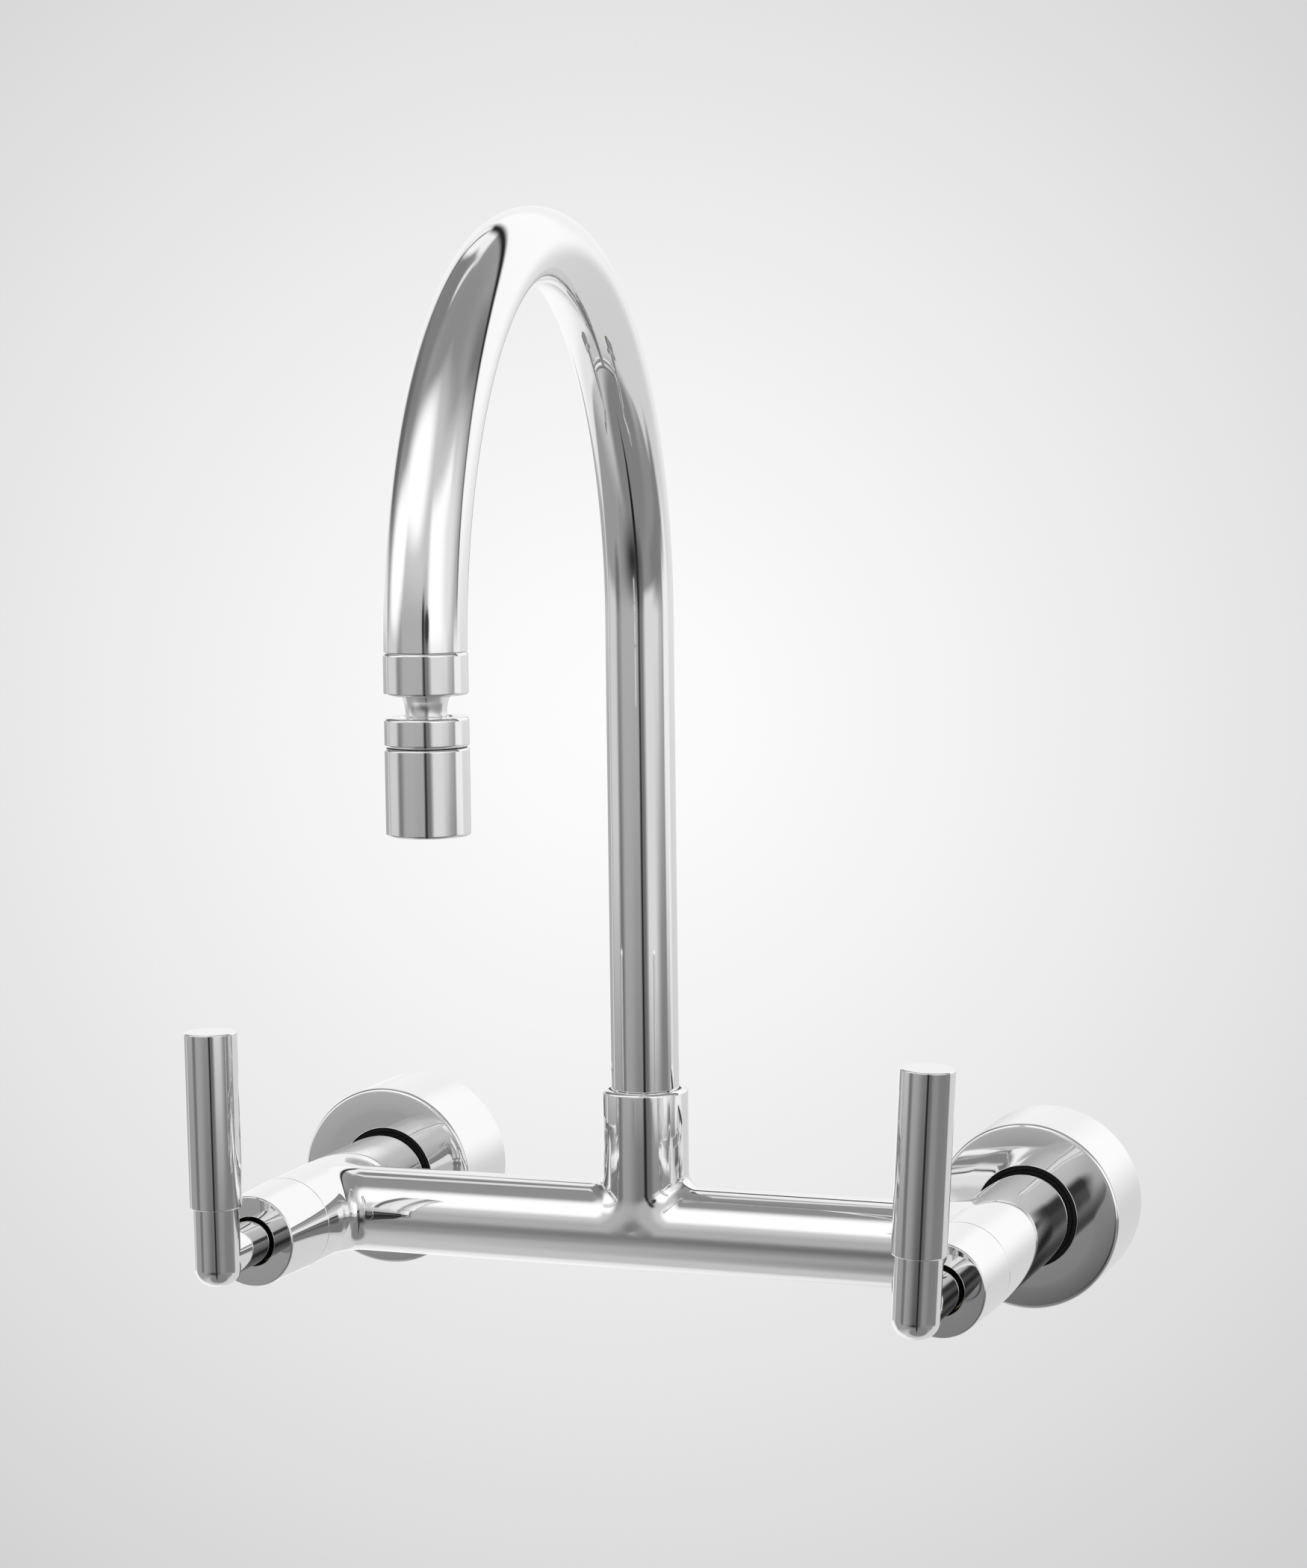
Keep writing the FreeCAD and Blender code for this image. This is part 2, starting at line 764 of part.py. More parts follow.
def make_spindle(name):
    """Spindle with a driving bar, collar, grooved journal, clip groove and the lever's splined end."""
    spline = sizes.spline_diameter / 2
    bar_foot = bar_back - sizes.bar_sink
    body = new_body(name)
    bar = new_sketch(body, f"{name}_bar_outline", "XY_Plane", lift=bar_foot)
    half_long = port_radius
    half_wide = sizes.bar_width / 2
    outline(bar, [(-half_long, -half_wide), (half_long, -half_wide), (half_long, half_wide),
                  (-half_long, half_wide)])
    pad(body, f"{name}_bar", bar, sizes.bar_height + sizes.bar_sink)
    shaft = new_sketch(body, f"{name}_shaft_outline")
    outline(shaft, [
        (zero, collar_back),
        (collar_radius, collar_back),
        (collar_radius, thrust_back),
        (journal_radius, thrust_back),
        (journal_radius, stem_back),
        (spline, stem_back),
        (spline, stem_back + sizes.spline_length),
        (zero, stem_back + sizes.spline_length),
    ])
    revolve(body, f"{name}_shaft", shaft)
    section = sizes.spindle_ring_section
    groove = journal_radius - section - sizes.running_gap
    half_width = (section + sizes.ring_play) / 2
    middle = neck_front - sizes.spindle_ring_depth
    for order in range(2):
        centre = middle + sizes.spindle_ring_pitch * order
        turned_cut(body, f"{name}_ring_groove_{order}", [
            (groove, centre - half_width), (journal_radius + sizes.overrun, centre - half_width),
            (journal_radius + sizes.overrun, centre + half_width), (groove, centre + half_width)])
    clip_groove = journal_radius - sizes.clip_sink
    turned_cut(body, f"{name}_clip_groove", [
        (clip_groove, clip_back), (journal_radius + sizes.overrun, clip_back),
        (journal_radius + sizes.overrun, clip_front), (clip_groove, clip_front)])
    return body


def make_spindle_clip(name):
    """Open spring clip in the spindle's groove, just in front of the headwork's neck."""
    inner = journal_radius - sizes.clip_sink + sizes.running_gap
    body = ring(name, inner, collar_radius, clip_back, clip_front)
    mouth = new_sketch(body, f"{name}_mouth_outline", "XY_Plane", lift=clip_front)
    rectangle(mouth, inner, zero, collar_radius + sizes.overrun)
    pocket(body, f"{name}_mouth", mouth, sizes.clip_thick)
    return body


def make_disc(name, back, port_angle):
    """Ceramic disc with two opposite sector ports, the first centred at this angle."""
    body = ring(name, zero, disc_radius, back, back + sizes.disc_thick)
    sketch = new_sketch(body, f"{name}_port_outline")
    low = back - sizes.overrun
    high = back + sizes.disc_thick + sizes.overrun
    outline(sketch, [(sizes.port_inner_radius, low), (port_radius, low), (port_radius, high),
                     (sizes.port_inner_radius, high)])
    port = revolve(body, f"{name}_port", sketch, cut=True, span=PORT_SPAN)
    polar(body, f"{name}_ports", port, 2)
    turn = FreeCAD.Rotation(FreeCAD.Vector(0, 0, 1), port_angle)
    body.Placement = FreeCAD.Placement(FreeCAD.Vector(), turn)
    return body


def make_fixed_disc(name):
    """Fixed disc with two lugs that key it in the headwork's cage."""
    body = make_disc(name, fixed_disc_back, 0)
    lugs = new_sketch(body, f"{name}_lug_outline", "XY_Plane", lift=fixed_disc_back)
    reach = disc_radius + sizes.disc_lug_height
    root = disc_radius - sizes.disc_lug_height
    half = sizes.disc_lug_width / 2
    outline(lugs, [(root, -half), (reach, -half), (reach, half), (root, half)])
    lug = pad(body, f"{name}_lug", lugs, sizes.disc_thick)
    polar(body, f"{name}_lugs", lug, 2)
    return body


def make_moving_disc(name):
    """Turning disc: its ports stand across the fixed ones, and its slot takes the spindle's bar."""
    body = make_disc(name, moving_disc_back, 90)
    slot = new_sketch(body, f"{name}_slot_outline", "XY_Plane", lift=bar_back)
    half_long = port_radius + sizes.running_gap
    half_wide = sizes.bar_width / 2 + sizes.running_gap
    outline(slot, [(-half_wide, -half_long), (half_wide, -half_long), (half_wide, half_long),
                   (-half_wide, half_long)])
    pocket(body, f"{name}_slot", slot, sizes.bar_sink)
    return body


def make_lever_arm(name):
    """Upright rod with a rounded foot and a core for the sleeve, and a level stem bored for the spindle."""
    body = new_body(name)
    foot = -sizes.rod_drop
    core = sizes.core_diameter / 2
    core_top = sizes.sleeve_start + sizes.core_length
    rod = new_sketch(body, f"{name}_rod_outline")
    outline(rod, [(zero, foot), (rod_radius, foot), (rod_radius, sizes.sleeve_start),
                  (core, sizes.sleeve_start), (core, core_top), (zero, core_top)])
    revolve(body, f"{name}_rod", rod)
    round_rims(body, [(rod_radius, foot)], sizes.rod_end_round)
    length = lever_axis - stem_back
    stem = new_sketch(body, f"{name}_stem_outline")
    circle(stem, rod_radius)
    pad(body, f"{name}_stem", stem, length).Reversed = True
    bore = sizes.spline_diameter / 2 + sizes.running_gap
    depth = sizes.spline_length + sizes.spline_end_gap
    drill(body, f"{name}_bore", bore, depth, (zero, length, zero), FORWARD)
    screw_hole = sizes.lever_screw_diameter / 2 + sizes.running_gap
    screw_along = length - sizes.lever_screw_along
    drill(body, f"{name}_screw_hole", screw_hole, rod_radius + sizes.overrun,
          (zero, screw_along, -rod_radius - sizes.overrun), UPRIGHT)
    return body


def make_lever_sleeve(name):
    """Grip sleeve, closed at its top, over the rod's core."""
    outer = rod_radius + sizes.sleeve_step
    bore = sizes.core_diameter / 2 + sizes.running_gap
    low = sizes.sleeve_start
    high = low + sizes.sleeve_length
    bore_end = low + sizes.core_length + sizes.core_play
    body = turned(name, [(bore, low), (outer, low), (outer, high), (zero, high), (zero, bore_end),
                         (bore, bore_end)])
    round_rims(body, [(outer, low), (outer, high)], sizes.sleeve_edge)
    return body


def make_lever_screw(name):
    """Grub screw with a hexagon socket, made upright with its socket on top."""
    radius = sizes.lever_screw_diameter / 2
    low = sizes.spline_diameter / 2 + sizes.running_gap
    high = rod_radius - sizes.lever_screw_sink
    body = ring(name, zero, radius, low, high)
    key_socket(body, f"{name}_socket", sizes.lever_screw_key, sizes.lever_screw_key_depth, high)
    return body


def make_side(side, sign):
    """Every piece on one inlet's axis; sign is -1 on the left and 1 on the right."""
    across = sizes.inlet_spacing / 2 * sign
    lean = FreeCAD.Rotation(FreeCAD.Vector(0, 1, 0), LEVER_LEANS[side])
    fixed = [
        make_wall_union(f"{side}_wall_union"),
        ring(f"{side}_union_washer", sizes.union_bore / 2, tail_collar_radius, union_seat, washer_front),
        make_union_nut(f"{side}_union_nut"),
        make_leg(f"{side}_leg"),
        make_flange(f"{side}_flange"),
        make_bonnet_cover(f"{side}_bonnet_cover"),
        make_headwork(f"{side}_headwork"),
        make_headwork_gasket(f"{side}_headwork_gasket"),
        ring(f"{side}_thrust_washer", headwork_bore_radius + sizes.running_gap, collar_radius,
             thrust_back, cage_ceiling),
        make_fixed_disc(f"{side}_fixed_disc"),
        ring(f"{side}_seat_seal", port_radius + sizes.disc_gap, disc_radius, valve_floor, fixed_disc_back),
    ]
    for piece in fixed:
        place(piece, across, zero, zero, FORWARD)
    ring_middle = sizes.flange_depth - sizes.flange_lip - (sizes.flange_ring_section + sizes.ring_play) / 2
    place(make_flange_ring(f"{side}_flange_ring"), across, -ring_middle, zero, FORWARD)
    section = sizes.spindle_ring_section
    turning = [
        make_moving_disc(f"{side}_moving_disc"),
        make_spindle(f"{side}_spindle"),
        o_ring_pair(f"{side}_spindle_o_rings", section, journal_radius - section / 2,
                    neck_front - sizes.spindle_ring_depth, sizes.spindle_ring_pitch),
        make_spindle_clip(f"{side}_spindle_clip"),
    ]
    for piece in turning:
        place(piece, across, zero, zero, lean.multiply(FORWARD).multiply(piece.Placement.Rotation))
    for piece in (make_lever_arm(f"{side}_lever_arm"), make_lever_sleeve(f"{side}_lever_sleeve")):
        place(piece, across, -lever_axis, zero, lean)
    screw = make_lever_screw(f"{side}_lever_screw")
    upside_down = FreeCAD.Rotation(FreeCAD.Vector(0, 1, 0), 180)
    place(screw, across, -stem_back - sizes.lever_screw_along, zero, lean.multiply(upside_down))


# The cast body, about its own origin where the bridge's axis meets the spout's

tube_radius = sizes.spout_tube_diameter / 2
swivel_radius = tube_radius + sizes.swivel_step
boss_bore_radius = swivel_radius + sizes.running_gap
bearing_radius = boss_bore_radius + sizes.bearing_step
boss_radius = bearing_radius + sizes.boss_wall
spout_foot = sizes.boss_height - sizes.bearing_depth
bearing_floor = spout_foot + sizes.running_gap
swivel_floor = spout_foot - sizes.swivel_depth
spout_screw_height = spout_foot - sizes.spout_screw_drop


def housing_height(forward):
    """How high a place forwards of the wall lies in a housing sketch, where upwards is to the wall."""
    return sizes.bridge_standoff - forward


def blend_edges(body, beside_middle):
    """Edges where two round walls of the casting meet: about the boss, or at the two housings."""
    names = []
    middle = sizes.inlet_spacing.value / 4
    for index, edge in enumerate(body.Shape.Edges, start=1):
        if isinstance(edge.Curve, (Part.Circle, Part.Line)):
            continue
        if (abs(edge.BoundBox.Center.x) < middle) == beside_middle:
            names.append(f"Edge{index}")
    return names


def parting_edges(body):
    """Edges of the two housings where their full round ends at the bonnet covers."""
    names = []
    for index, edge in enumerate(body.Shape.Edges, start=1):
        curve = edge.Curve
        if not isinstance(curve, Part.Circle) or abs(curve.Radius - housing_radius.value) > EDGE_MATCH:
            continue
        if abs(curve.Center.y - housing_height(parting).value) < EDGE_MATCH:
            names.append(f"Edge{index}")
    return names


def make_mixer_body(name):
    """Hollow casting: bridge, two valve housings and the tee boss, blended, then bored."""
    body = new_body(name)
    bridge = new_sketch(body, f"{name}_bridge_outline", "YZ_Plane")
    circle(bridge, sizes.bridge_diameter / 2)
    pad(body, f"{name}_bridge", bridge, sizes.inlet_spacing, symmetric=True)

    aside = sizes.inlet_spacing / 2
    rear = housing_height(housing_rear)
    housing = new_sketch(body, f"{name}_housing_outline", "XY_Plane", shift=aside)
    outline(housing, [
        (zero, rear),
        (housing_radius, rear),
        (housing_radius, housing_height(parting)),
        (spigot_radius, housing_height(parting)),
        (spigot_radius, housing_height(spigot_front)),
        (zero, housing_height(spigot_front)),
    ])
    right_housing = revolve(body, f"{name}_housing", housing)
    mirror_feature(body, f"{name}_housings", right_housing)

    boss = new_sketch(body, f"{name}_boss_outline", "XY_Plane")
    circle(boss, boss_radius)
    pad(body, f"{name}_boss", boss, sizes.boss_height)
    doc.recompute()
    round_edges(body, f"{name}_housing_blend", blend_edges(body, False), sizes.housing_blend)
    doc.recompute()
    round_edges(body, f"{name}_boss_blend", blend_edges(body, True), sizes.boss_blend)
    round_rims(body, [(boss_radius, sizes.boss_height)], sizes.boss_edge_round)
    doc.recompute()
    round_edges(body, f"{name}_parting_rounds", parting_edges(body), sizes.parting_edge_round)

    port = sizes.valve_port / 2
    socket = sizes.leg_spigot_diameter / 2 + sizes.running_gap
    socket_floor = housing_rear + sizes.leg_spigot_length + sizes.leg_spigot_play
    thread_back = spigot_front - sizes.valve_thread_length
    chamber = new_sketch(body, f"{name}_chamber_outline", "XY_Plane", shift=aside)
    outline(chamber, [
        (zero, rear + sizes.overrun),
        (socket, rear + sizes.overrun),
        (socket, housing_height(socket_floor)),
        (port, housing_height(socket_floor)),
        (port, housing_height(valve_floor)),
        (chamber_radius, housing_height(valve_floor)),
        (chamber_radius, housing_height(thread_back)),
        (valve_thread_radius, housing_height(thread_back)),
        (valve_thread_radius, housing_height(spigot_front) - sizes.overrun),
        (zero, housing_height(spigot_front) - sizes.overrun),
    ])
    right_chamber = revolve(body, f"{name}_chamber", chamber, cut=True)
    mirror_feature(body, f"{name}_chambers", right_chamber)

    crossways = FreeCAD.Rotation(FreeCAD.Vector(0, 1, 0), 90)
    drill(body, f"{name}_bridge_bore", sizes.bridge_bore / 2, sizes.inlet_spacing, (-aside, zero, zero),
          crossways)
    passage = sizes.boss_passage / 2
    turned_cut(body, f"{name}_boss_bore", [
        (zero, zero),
        (passage, zero),
        (passage, swivel_floor),
        (boss_bore_radius, swivel_floor),
        (boss_bore_radius, bearing_floor),
        (bearing_radius, bearing_floor),
        (bearing_radius, sizes.boss_height + sizes.overrun),
        (zero, sizes.boss_height + sizes.overrun),
    ])
    screw_hole = sizes.spout_screw_diameter / 2 + sizes.running_gap
    drill(body, f"{name}_screw_hole", screw_hole, boss_radius + sizes.overrun,
          (zero, zero, spout_screw_height), BACKWARD)
    place(body, zero, -sizes.bridge_standoff, zero, UPRIGHT)
    return body


# Places up the spout, above the bridge's axis

swing_across = math.sin(math.radians(SPOUT_SWING))
swing_along = math.cos(math.radians(SPOUT_SWING))
tube_bore_radius = tube_radius - sizes.spout_tube_wall
swivel_ring_low = spout_screw_height - sizes.swivel_ring_drop - sizes.swivel_ring_pitch
stem_foot = swivel_floor + sizes.swivel_rest_thick + sizes.running_gap
nozzle_top = sizes.spout_bend_height + sizes.spout_end_rise
nozzle_foot = nozzle_top - sizes.nozzle_collar_height
gasket_top = nozzle_foot + sizes.nozzle_thread_depth
stud_top = gasket_top - sizes.nozzle_gasket_thick
socket_top = nozzle_foot - sizes.neck_length
ball_centre = socket_top - sizes.ball_depth
socket_foot = socket_top - sizes.socket_ring_height
socket_step = ball_centre + sizes.socket_step_height
housing_top = socket_foot - sizes.socket_ring_groove
outlet = housing_top - sizes.aerator_height

# Radii about the nozzle's axis, from the outside in

nozzle_radius = tube_radius + sizes.nozzle_step
ring_bore_radius = nozzle_radius - sizes.ring_wall
housing_spigot_radius = ring_bore_radius - sizes.running_gap
pocket_radius = housing_spigot_radius - sizes.socket_wall
seat_outer_radius = pocket_radius - sizes.running_gap
seat_inner_radius = seat_outer_radius - sizes.ball_seat_thick
ball_radius = seat_inner_radius - sizes.running_gap
neck_radius = sizes.neck_diameter / 2
pocket_foot = ball_centre - pocket_radius * POCKET_FOOT_OF_POCKET_SHARE
web_foot = pocket_foot - sizes.pocket_web
aerator_bore_radius = nozzle_radius - sizes.aerator_wall
insert_top = web_foot - sizes.aerator_gasket_thick
insert_foot = outlet + sizes.insert_recess
insert_floor = insert_foot + sizes.insert_plate
ledge_top = insert_floor + sizes.insert_ledge_height
insert_radius = aerator_bore_radius - sizes.running_gap
insert_bore_radius = insert_radius - sizes.insert_wall


def make_spout_tube(name):
    """Gooseneck tube: a circle swept up the riser and over the half-round bend, cut level at its end."""
    body = new_body(name)
    bend = sizes.spout_bend_height
    bend_radius = sizes.spout_reach / 2
    path = new_sketch(body, f"{name}_path", "YZ_Plane")
    riser = path.addGeometry(
        Part.LineSegment(FreeCAD.Vector(0, spout_foot.value, 0), FreeCAD.Vector(0, bend.value, 0)), False)
    hub = FreeCAD.Vector(-bend_radius.value, bend.value, 0)
    half_round = Part.Circle(hub, FreeCAD.Vector(0, 0, 1), bend_radius.value)
    arc = path.addGeometry(Part.ArcOfCircle(half_round, 0, math.pi), False)
    rules = point_rules(riser, 1, zero, spout_foot) + point_rules(riser, 2, zero, bend)
    rules += point_rules(arc, 3, -bend_radius, bend)
    rules.append((Sketcher.Constraint("Coincident", riser, 2, arc, 1), None))
    rules.append((Sketcher.Constraint("DistanceY", -1, 1, arc, 2, bend.value), bend))
    add_bound(path, rules)
    section = new_sketch(body, f"{name}_section", "XY_Plane", lift=spout_foot)
    circle(section, tube_radius)
    circle(section, tube_bore_radius)
    sweep = body.newObject("PartDesign::AdditivePipe", f"{name}_sweep")
    sweep.Profile = section
    sweep.Spine = (path, ["Edge1", "Edge2"])
    level = new_sketch(body, f"{name}_end_outline", "XY_Plane", lift=nozzle_top)
    circle(level, tube_radius + sizes.overrun, up=-sizes.spout_reach)
    pocket(body, f"{name}_end", level, nozzle_top - bend + sizes.overrun)
    return body


def make_swivel_stem(name):
    """Brass foot of the spout: two ring grooves and a groove for the screw that keeps the spout in."""
    bore = sizes.swivel_bore / 2
    shoulder = spout_foot
    spigot = tube_bore_radius - sizes.running_gap
    spigot_top = shoulder + sizes.swivel_spigot_length
    body = turned(name, [(bore, stem_foot), (swivel_radius, stem_foot), (swivel_radius, shoulder),
                         (spigot, shoulder), (spigot, spigot_top), (bore, spigot_top)])
    section = sizes.swivel_ring_section
    ring_groove = swivel_radius - section - sizes.running_gap
    half_width = (section + sizes.ring_play) / 2
    beyond = swivel_radius + sizes.overrun
    for order in range(2):
        centre = swivel_ring_low + sizes.swivel_ring_pitch * order
        low = centre - half_width
        high = centre + half_width
        turned_cut(body, f"{name}_ring_groove_{order}",
                   [(ring_groove, low), (beyond, low), (beyond, high), (ring_groove, high)])
    keeper = swivel_radius - sizes.retainer_groove_depth
    low = spout_screw_height - sizes.retainer_groove_width / 2
    high = low + sizes.retainer_groove_width
    turned_cut(body, f"{name}_keeper_groove",
               [(keeper, low), (beyond, low), (beyond, high), (keeper, high)])
    return body


def make_spout_screw(name):
    """Dog-point screw through the boss: its tip runs in the foot's groove."""
    body_radius = sizes.spout_screw_diameter / 2
    tip = sizes.spout_screw_tip_diameter / 2
    point = swivel_radius - sizes.retainer_groove_depth + sizes.spout_screw_tip_gap
    body_foot = boss_bore_radius + sizes.spout_screw_tip_gap
    head = boss_radius - sizes.spout_screw_sink
    body = turned(name, [(zero, point), (tip, point), (tip, body_foot), (body_radius, body_foot),
                         (body_radius, head), (zero, head)])
    key_socket(body, f"{name}_socket", sizes.spout_screw_key, sizes.spout_screw_key_depth, head)
    return body


def make_nozzle_collar(name):
    """Upper ring of the nozzle, with a spigot up into the tube and a thread for the ball stud."""
    spigot = tube_bore_radius - sizes.nozzle_spigot_gap
    bore = sizes.nozzle_bore / 2
    thread = sizes.nozzle_thread_diameter / 2
    spigot_top = nozzle_top + sizes.nozzle_spigot_length
    body = turned(name, [(thread, nozzle_foot), (nozzle_radius, nozzle_foot), (nozzle_radius, nozzle_top),
                         (spigot, nozzle_top), (spigot, spigot_top), (bore, spigot_top), (bore, gasket_top),
                         (thread, gasket_top)])
    round_rims(body, [(nozzle_radius, nozzle_foot)], sizes.nozzle_edge)
    round_rims(body, [(nozzle_radius, nozzle_top)], sizes.nozzle_top_edge)
    return body


def make_swivel_ball(name):
    """Hollow ball stud: threaded head, tapering neck and the ball, cut flat underneath."""
    bore = sizes.ball_bore / 2
    stud = sizes.nozzle_thread_diameter / 2 - sizes.running_gap
    root = sizes.neck_root_diameter / 2
    root_end = nozzle_foot - sizes.neck_root_length
    ball_foot = ball_centre - ball_radius * BALL_FOOT_OF_BALL_SHARE
    corners = [
        (bore, ball_foot),
        (None, ball_foot),
        (None, ball_centre + ball_radius.leg(neck_radius)),
        (neck_radius, root_end),
        (root, nozzle_foot),
        (stud, nozzle_foot),
        (stud, stud_top),
        (bore, stud_top),
    ]
    return turned(name, corners, {1: (ball_centre, ball_radius)})


def make_ball_seat(name):
    """Low-friction cup under the ball."""
    low = ball_centre - ball_radius * SEAT_FOOT_OF_BALL_SHARE
    high = ball_centre - ball_radius * SEAT_TOP_OF_BALL_SHARE
    corners = [(None, low), (None, low), (None, high), (None, high)]
    return turned(name, corners, {1: (ball_centre, seat_outer_radius), 3: (ball_centre, seat_inner_radius)})


def make_socket_ring(name):
    """Ring that screws onto the housing and holds the ball with its inward lip."""
    lip = ball_centre + ball_radius * LIP_HEIGHT_OF_BALL_SHARE
    mouth = neck_radius + sizes.mouth_gap
    corners = [
        (ring_bore_radius, socket_foot),
        (nozzle_radius, socket_foot),
        (nozzle_radius, socket_top),
        (mouth, socket_top),
        (None, lip),
        (None, socket_step),
        (ring_bore_radius, socket_step),
    ]
    body = turned(name, corners, {4: (ball_centre, seat_inner_radius)})
    round_rims(body, [(nozzle_radius, socket_top)], sizes.nozzle_edge)
    return body


def make_aerator_housing(name):
    """Long lower ring: a cup for the ball above, a chamber for the insert below."""
    corners = [
        (aerator_bore_radius, outlet),
        (nozzle_radius, outlet),
        (nozzle_radius, housing_top),
        (housing_spigot_radius, housing_top),
        (housing_spigot_radius, socket_step),
        (pocket_radius, socket_step),
        (None, ball_centre),
        (None, pocket_foot),
        (sizes.pocket_hole / 2, pocket_foot),
        (sizes.pocket_hole / 2, web_foot),
        (aerator_bore_radius, web_foot),
    ]
    body = turned(name, corners, {6: (ball_centre, pocket_radius)})
    round_rims(body, [(nozzle_radius, outlet)], sizes.aerator_end_round)
    return body


def make_aerator_screens(name):
    """Stack of fine screens on the insert's ledge."""
    radius = insert_bore_radius - sizes.running_gap
    screens = []
    for order in range(SCREEN_COUNT):
        screen = doc.addObject("Part::Cylinder", f"{name}_{order}")
        screen.setExpression("Radius", radius.text)
        screen.setExpression("Height", sizes.screen_thick.text)
        screen.setExpression(".Placement.Base.z", (ledge_top + sizes.screen_pitch * order).text)
        screens.append(screen)
    stack = doc.addObject("Part::Compound", name)
    stack.Label = name
    stack.Links = screens
    nodes.append(stack)
    return stack


def make_aerator_insert(name):
    """Cup-shaped outlet insert: a ledge for the screens and rings of small outlet holes."""
    ledge = insert_bore_radius - sizes.insert_ledge_width
    body = turned(name, [
        (zero, insert_foot),
        (insert_radius, insert_foot),
        (insert_radius, insert_top),
        (insert_bore_radius, insert_top),
        (insert_bore_radius, ledge_top),
        (ledge, ledge_top),
        (ledge, insert_floor),
        (zero, insert_floor),
    ])
    hole = sizes.outlet_hole_diameter / 2
    length = sizes.insert_plate + sizes.overrun * 2
    low = insert_foot - sizes.overrun
    drill(body, f"{name}_middle_hole", hole, length, (zero, zero, low), UPRIGHT)
    for rank, count in enumerate(OUTLET_RING_COUNTS, start=1):
        across = sizes.outlet_ring_radius * rank
        outer_hole = drill(body, f"{name}_hole_{rank}", hole, length, (across, zero, low), UPRIGHT)
        doc.recompute()
        polar(body, f"{name}_holes_{rank}", outer_hole, count)
    return body


def make_spout():
    """Everything above the boss, standing at the photographed swing of the spout."""
    swing = FreeCAD.Rotation(FreeCAD.Vector(0, 0, 1), SPOUT_SWING)
    section = sizes.swivel_ring_section
    at_boss = [
        make_spout_tube("spout_tube"),
        make_swivel_stem("swivel_stem"),
        o_ring_pair("swivel_o_rings", section, swivel_radius - section / 2, swivel_ring_low,
                    sizes.swivel_ring_pitch),
    ]
    for piece in at_boss:
        place(piece, zero, -sizes.bridge_standoff, zero, swing)
    at_nozzle = [
        make_nozzle_collar("nozzle_collar"),
        ring("nozzle_gasket", sizes.nozzle_gasket_bore / 2,
             sizes.nozzle_thread_diameter / 2 - sizes.running_gap * 2, stud_top, gasket_top),
        make_swivel_ball("swivel_ball"),
        make_ball_seat("ball_seat"),
        make_socket_ring("socket_ring"),
        make_aerator_housing("aerator_housing"),
        ring("aerator_gasket", insert_radius - sizes.aerator_gasket_width, insert_radius,
             insert_top, web_foot),
        make_aerator_screens("aerator_screens"),
        make_aerator_insert("aerator_insert"),
    ]
    across = sizes.spout_reach * swing_across
    along = -sizes.bridge_standoff - sizes.spout_reach * swing_along
    for piece in at_nozzle:
        place(piece, across, along, zero, swing)


def make_boss_fittings():
    """The fixed pieces in the boss: rest ring, bearing ring and the spout's screw."""
    rest_inner = sizes.boss_passage / 2 - sizes.swivel_rest_inset
    rest_outer = swivel_radius - sizes.swivel_rest_gap
    rest_top = swivel_floor + sizes.swivel_rest_thick
    rest = ring("swivel_rest", rest_inner, rest_outer, swivel_floor, rest_top)
    bearing = ring("swivel_bearing", tube_radius + sizes.running_gap, bearing_radius - sizes.running_gap,
                   bearing_floor, sizes.boss_height - sizes.bearing_recess)
    for piece in (rest, bearing):
        place(piece, zero, -sizes.bridge_standoff, zero, UPRIGHT)
    screw = make_spout_screw("spout_screw")
    place(screw, zero, -sizes.bridge_standoff, spout_screw_height, BACKWARD)


make_side("left", -1)
make_side("right", 1)
make_mixer_body("mixer_body")
make_spout()
make_boss_fittings()
doc.recompute()

broken = [thing.Name for thing in doc.Objects if {"Invalid", "Error"} & set(thing.State)]
if broken:
    raise RuntimeError(f"broken features: {broken}")
os.makedirs("parts", exist_ok=True)
for node in nodes:
    shape = node.Shape
    if shape.isNull() or not shape.isValid():
        raise RuntimeError(f"{node.Label} has no sound shape")
    shape.exportStep(os.path.join("parts", f"{node.Label}.step"))
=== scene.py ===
import math

import bmesh
import bpy
import numpy as np
from mathutils import Matrix, Vector


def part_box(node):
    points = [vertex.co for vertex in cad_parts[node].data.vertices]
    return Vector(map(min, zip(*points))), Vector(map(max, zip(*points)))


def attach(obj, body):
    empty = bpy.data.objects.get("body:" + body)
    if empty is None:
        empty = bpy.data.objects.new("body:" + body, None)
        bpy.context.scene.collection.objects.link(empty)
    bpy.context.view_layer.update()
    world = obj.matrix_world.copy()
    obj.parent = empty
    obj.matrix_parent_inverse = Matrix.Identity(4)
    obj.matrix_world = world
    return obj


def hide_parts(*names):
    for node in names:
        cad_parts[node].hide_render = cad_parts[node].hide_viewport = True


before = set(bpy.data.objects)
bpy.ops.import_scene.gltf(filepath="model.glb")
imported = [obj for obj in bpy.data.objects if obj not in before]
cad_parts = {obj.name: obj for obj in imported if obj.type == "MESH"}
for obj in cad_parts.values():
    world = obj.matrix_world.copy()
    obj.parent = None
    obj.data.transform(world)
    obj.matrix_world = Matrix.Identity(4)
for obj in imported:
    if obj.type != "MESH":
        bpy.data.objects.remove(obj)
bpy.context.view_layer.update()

scene = bpy.context.scene
scene.view_settings.view_transform = "Standard"


# Camera
# A portrait lens about a metre in front of the faucet, a little to the right and above it, so that both
# levers, the underside of the bend and the front faces of the wall flanges show.

view_turn = math.radians(19.962)
view_drop = math.radians(5.729)
view_roll = math.radians(-0.702)
view_target = Vector((0.013568, -0.1, 0.129643))
view_distance = 1.01371

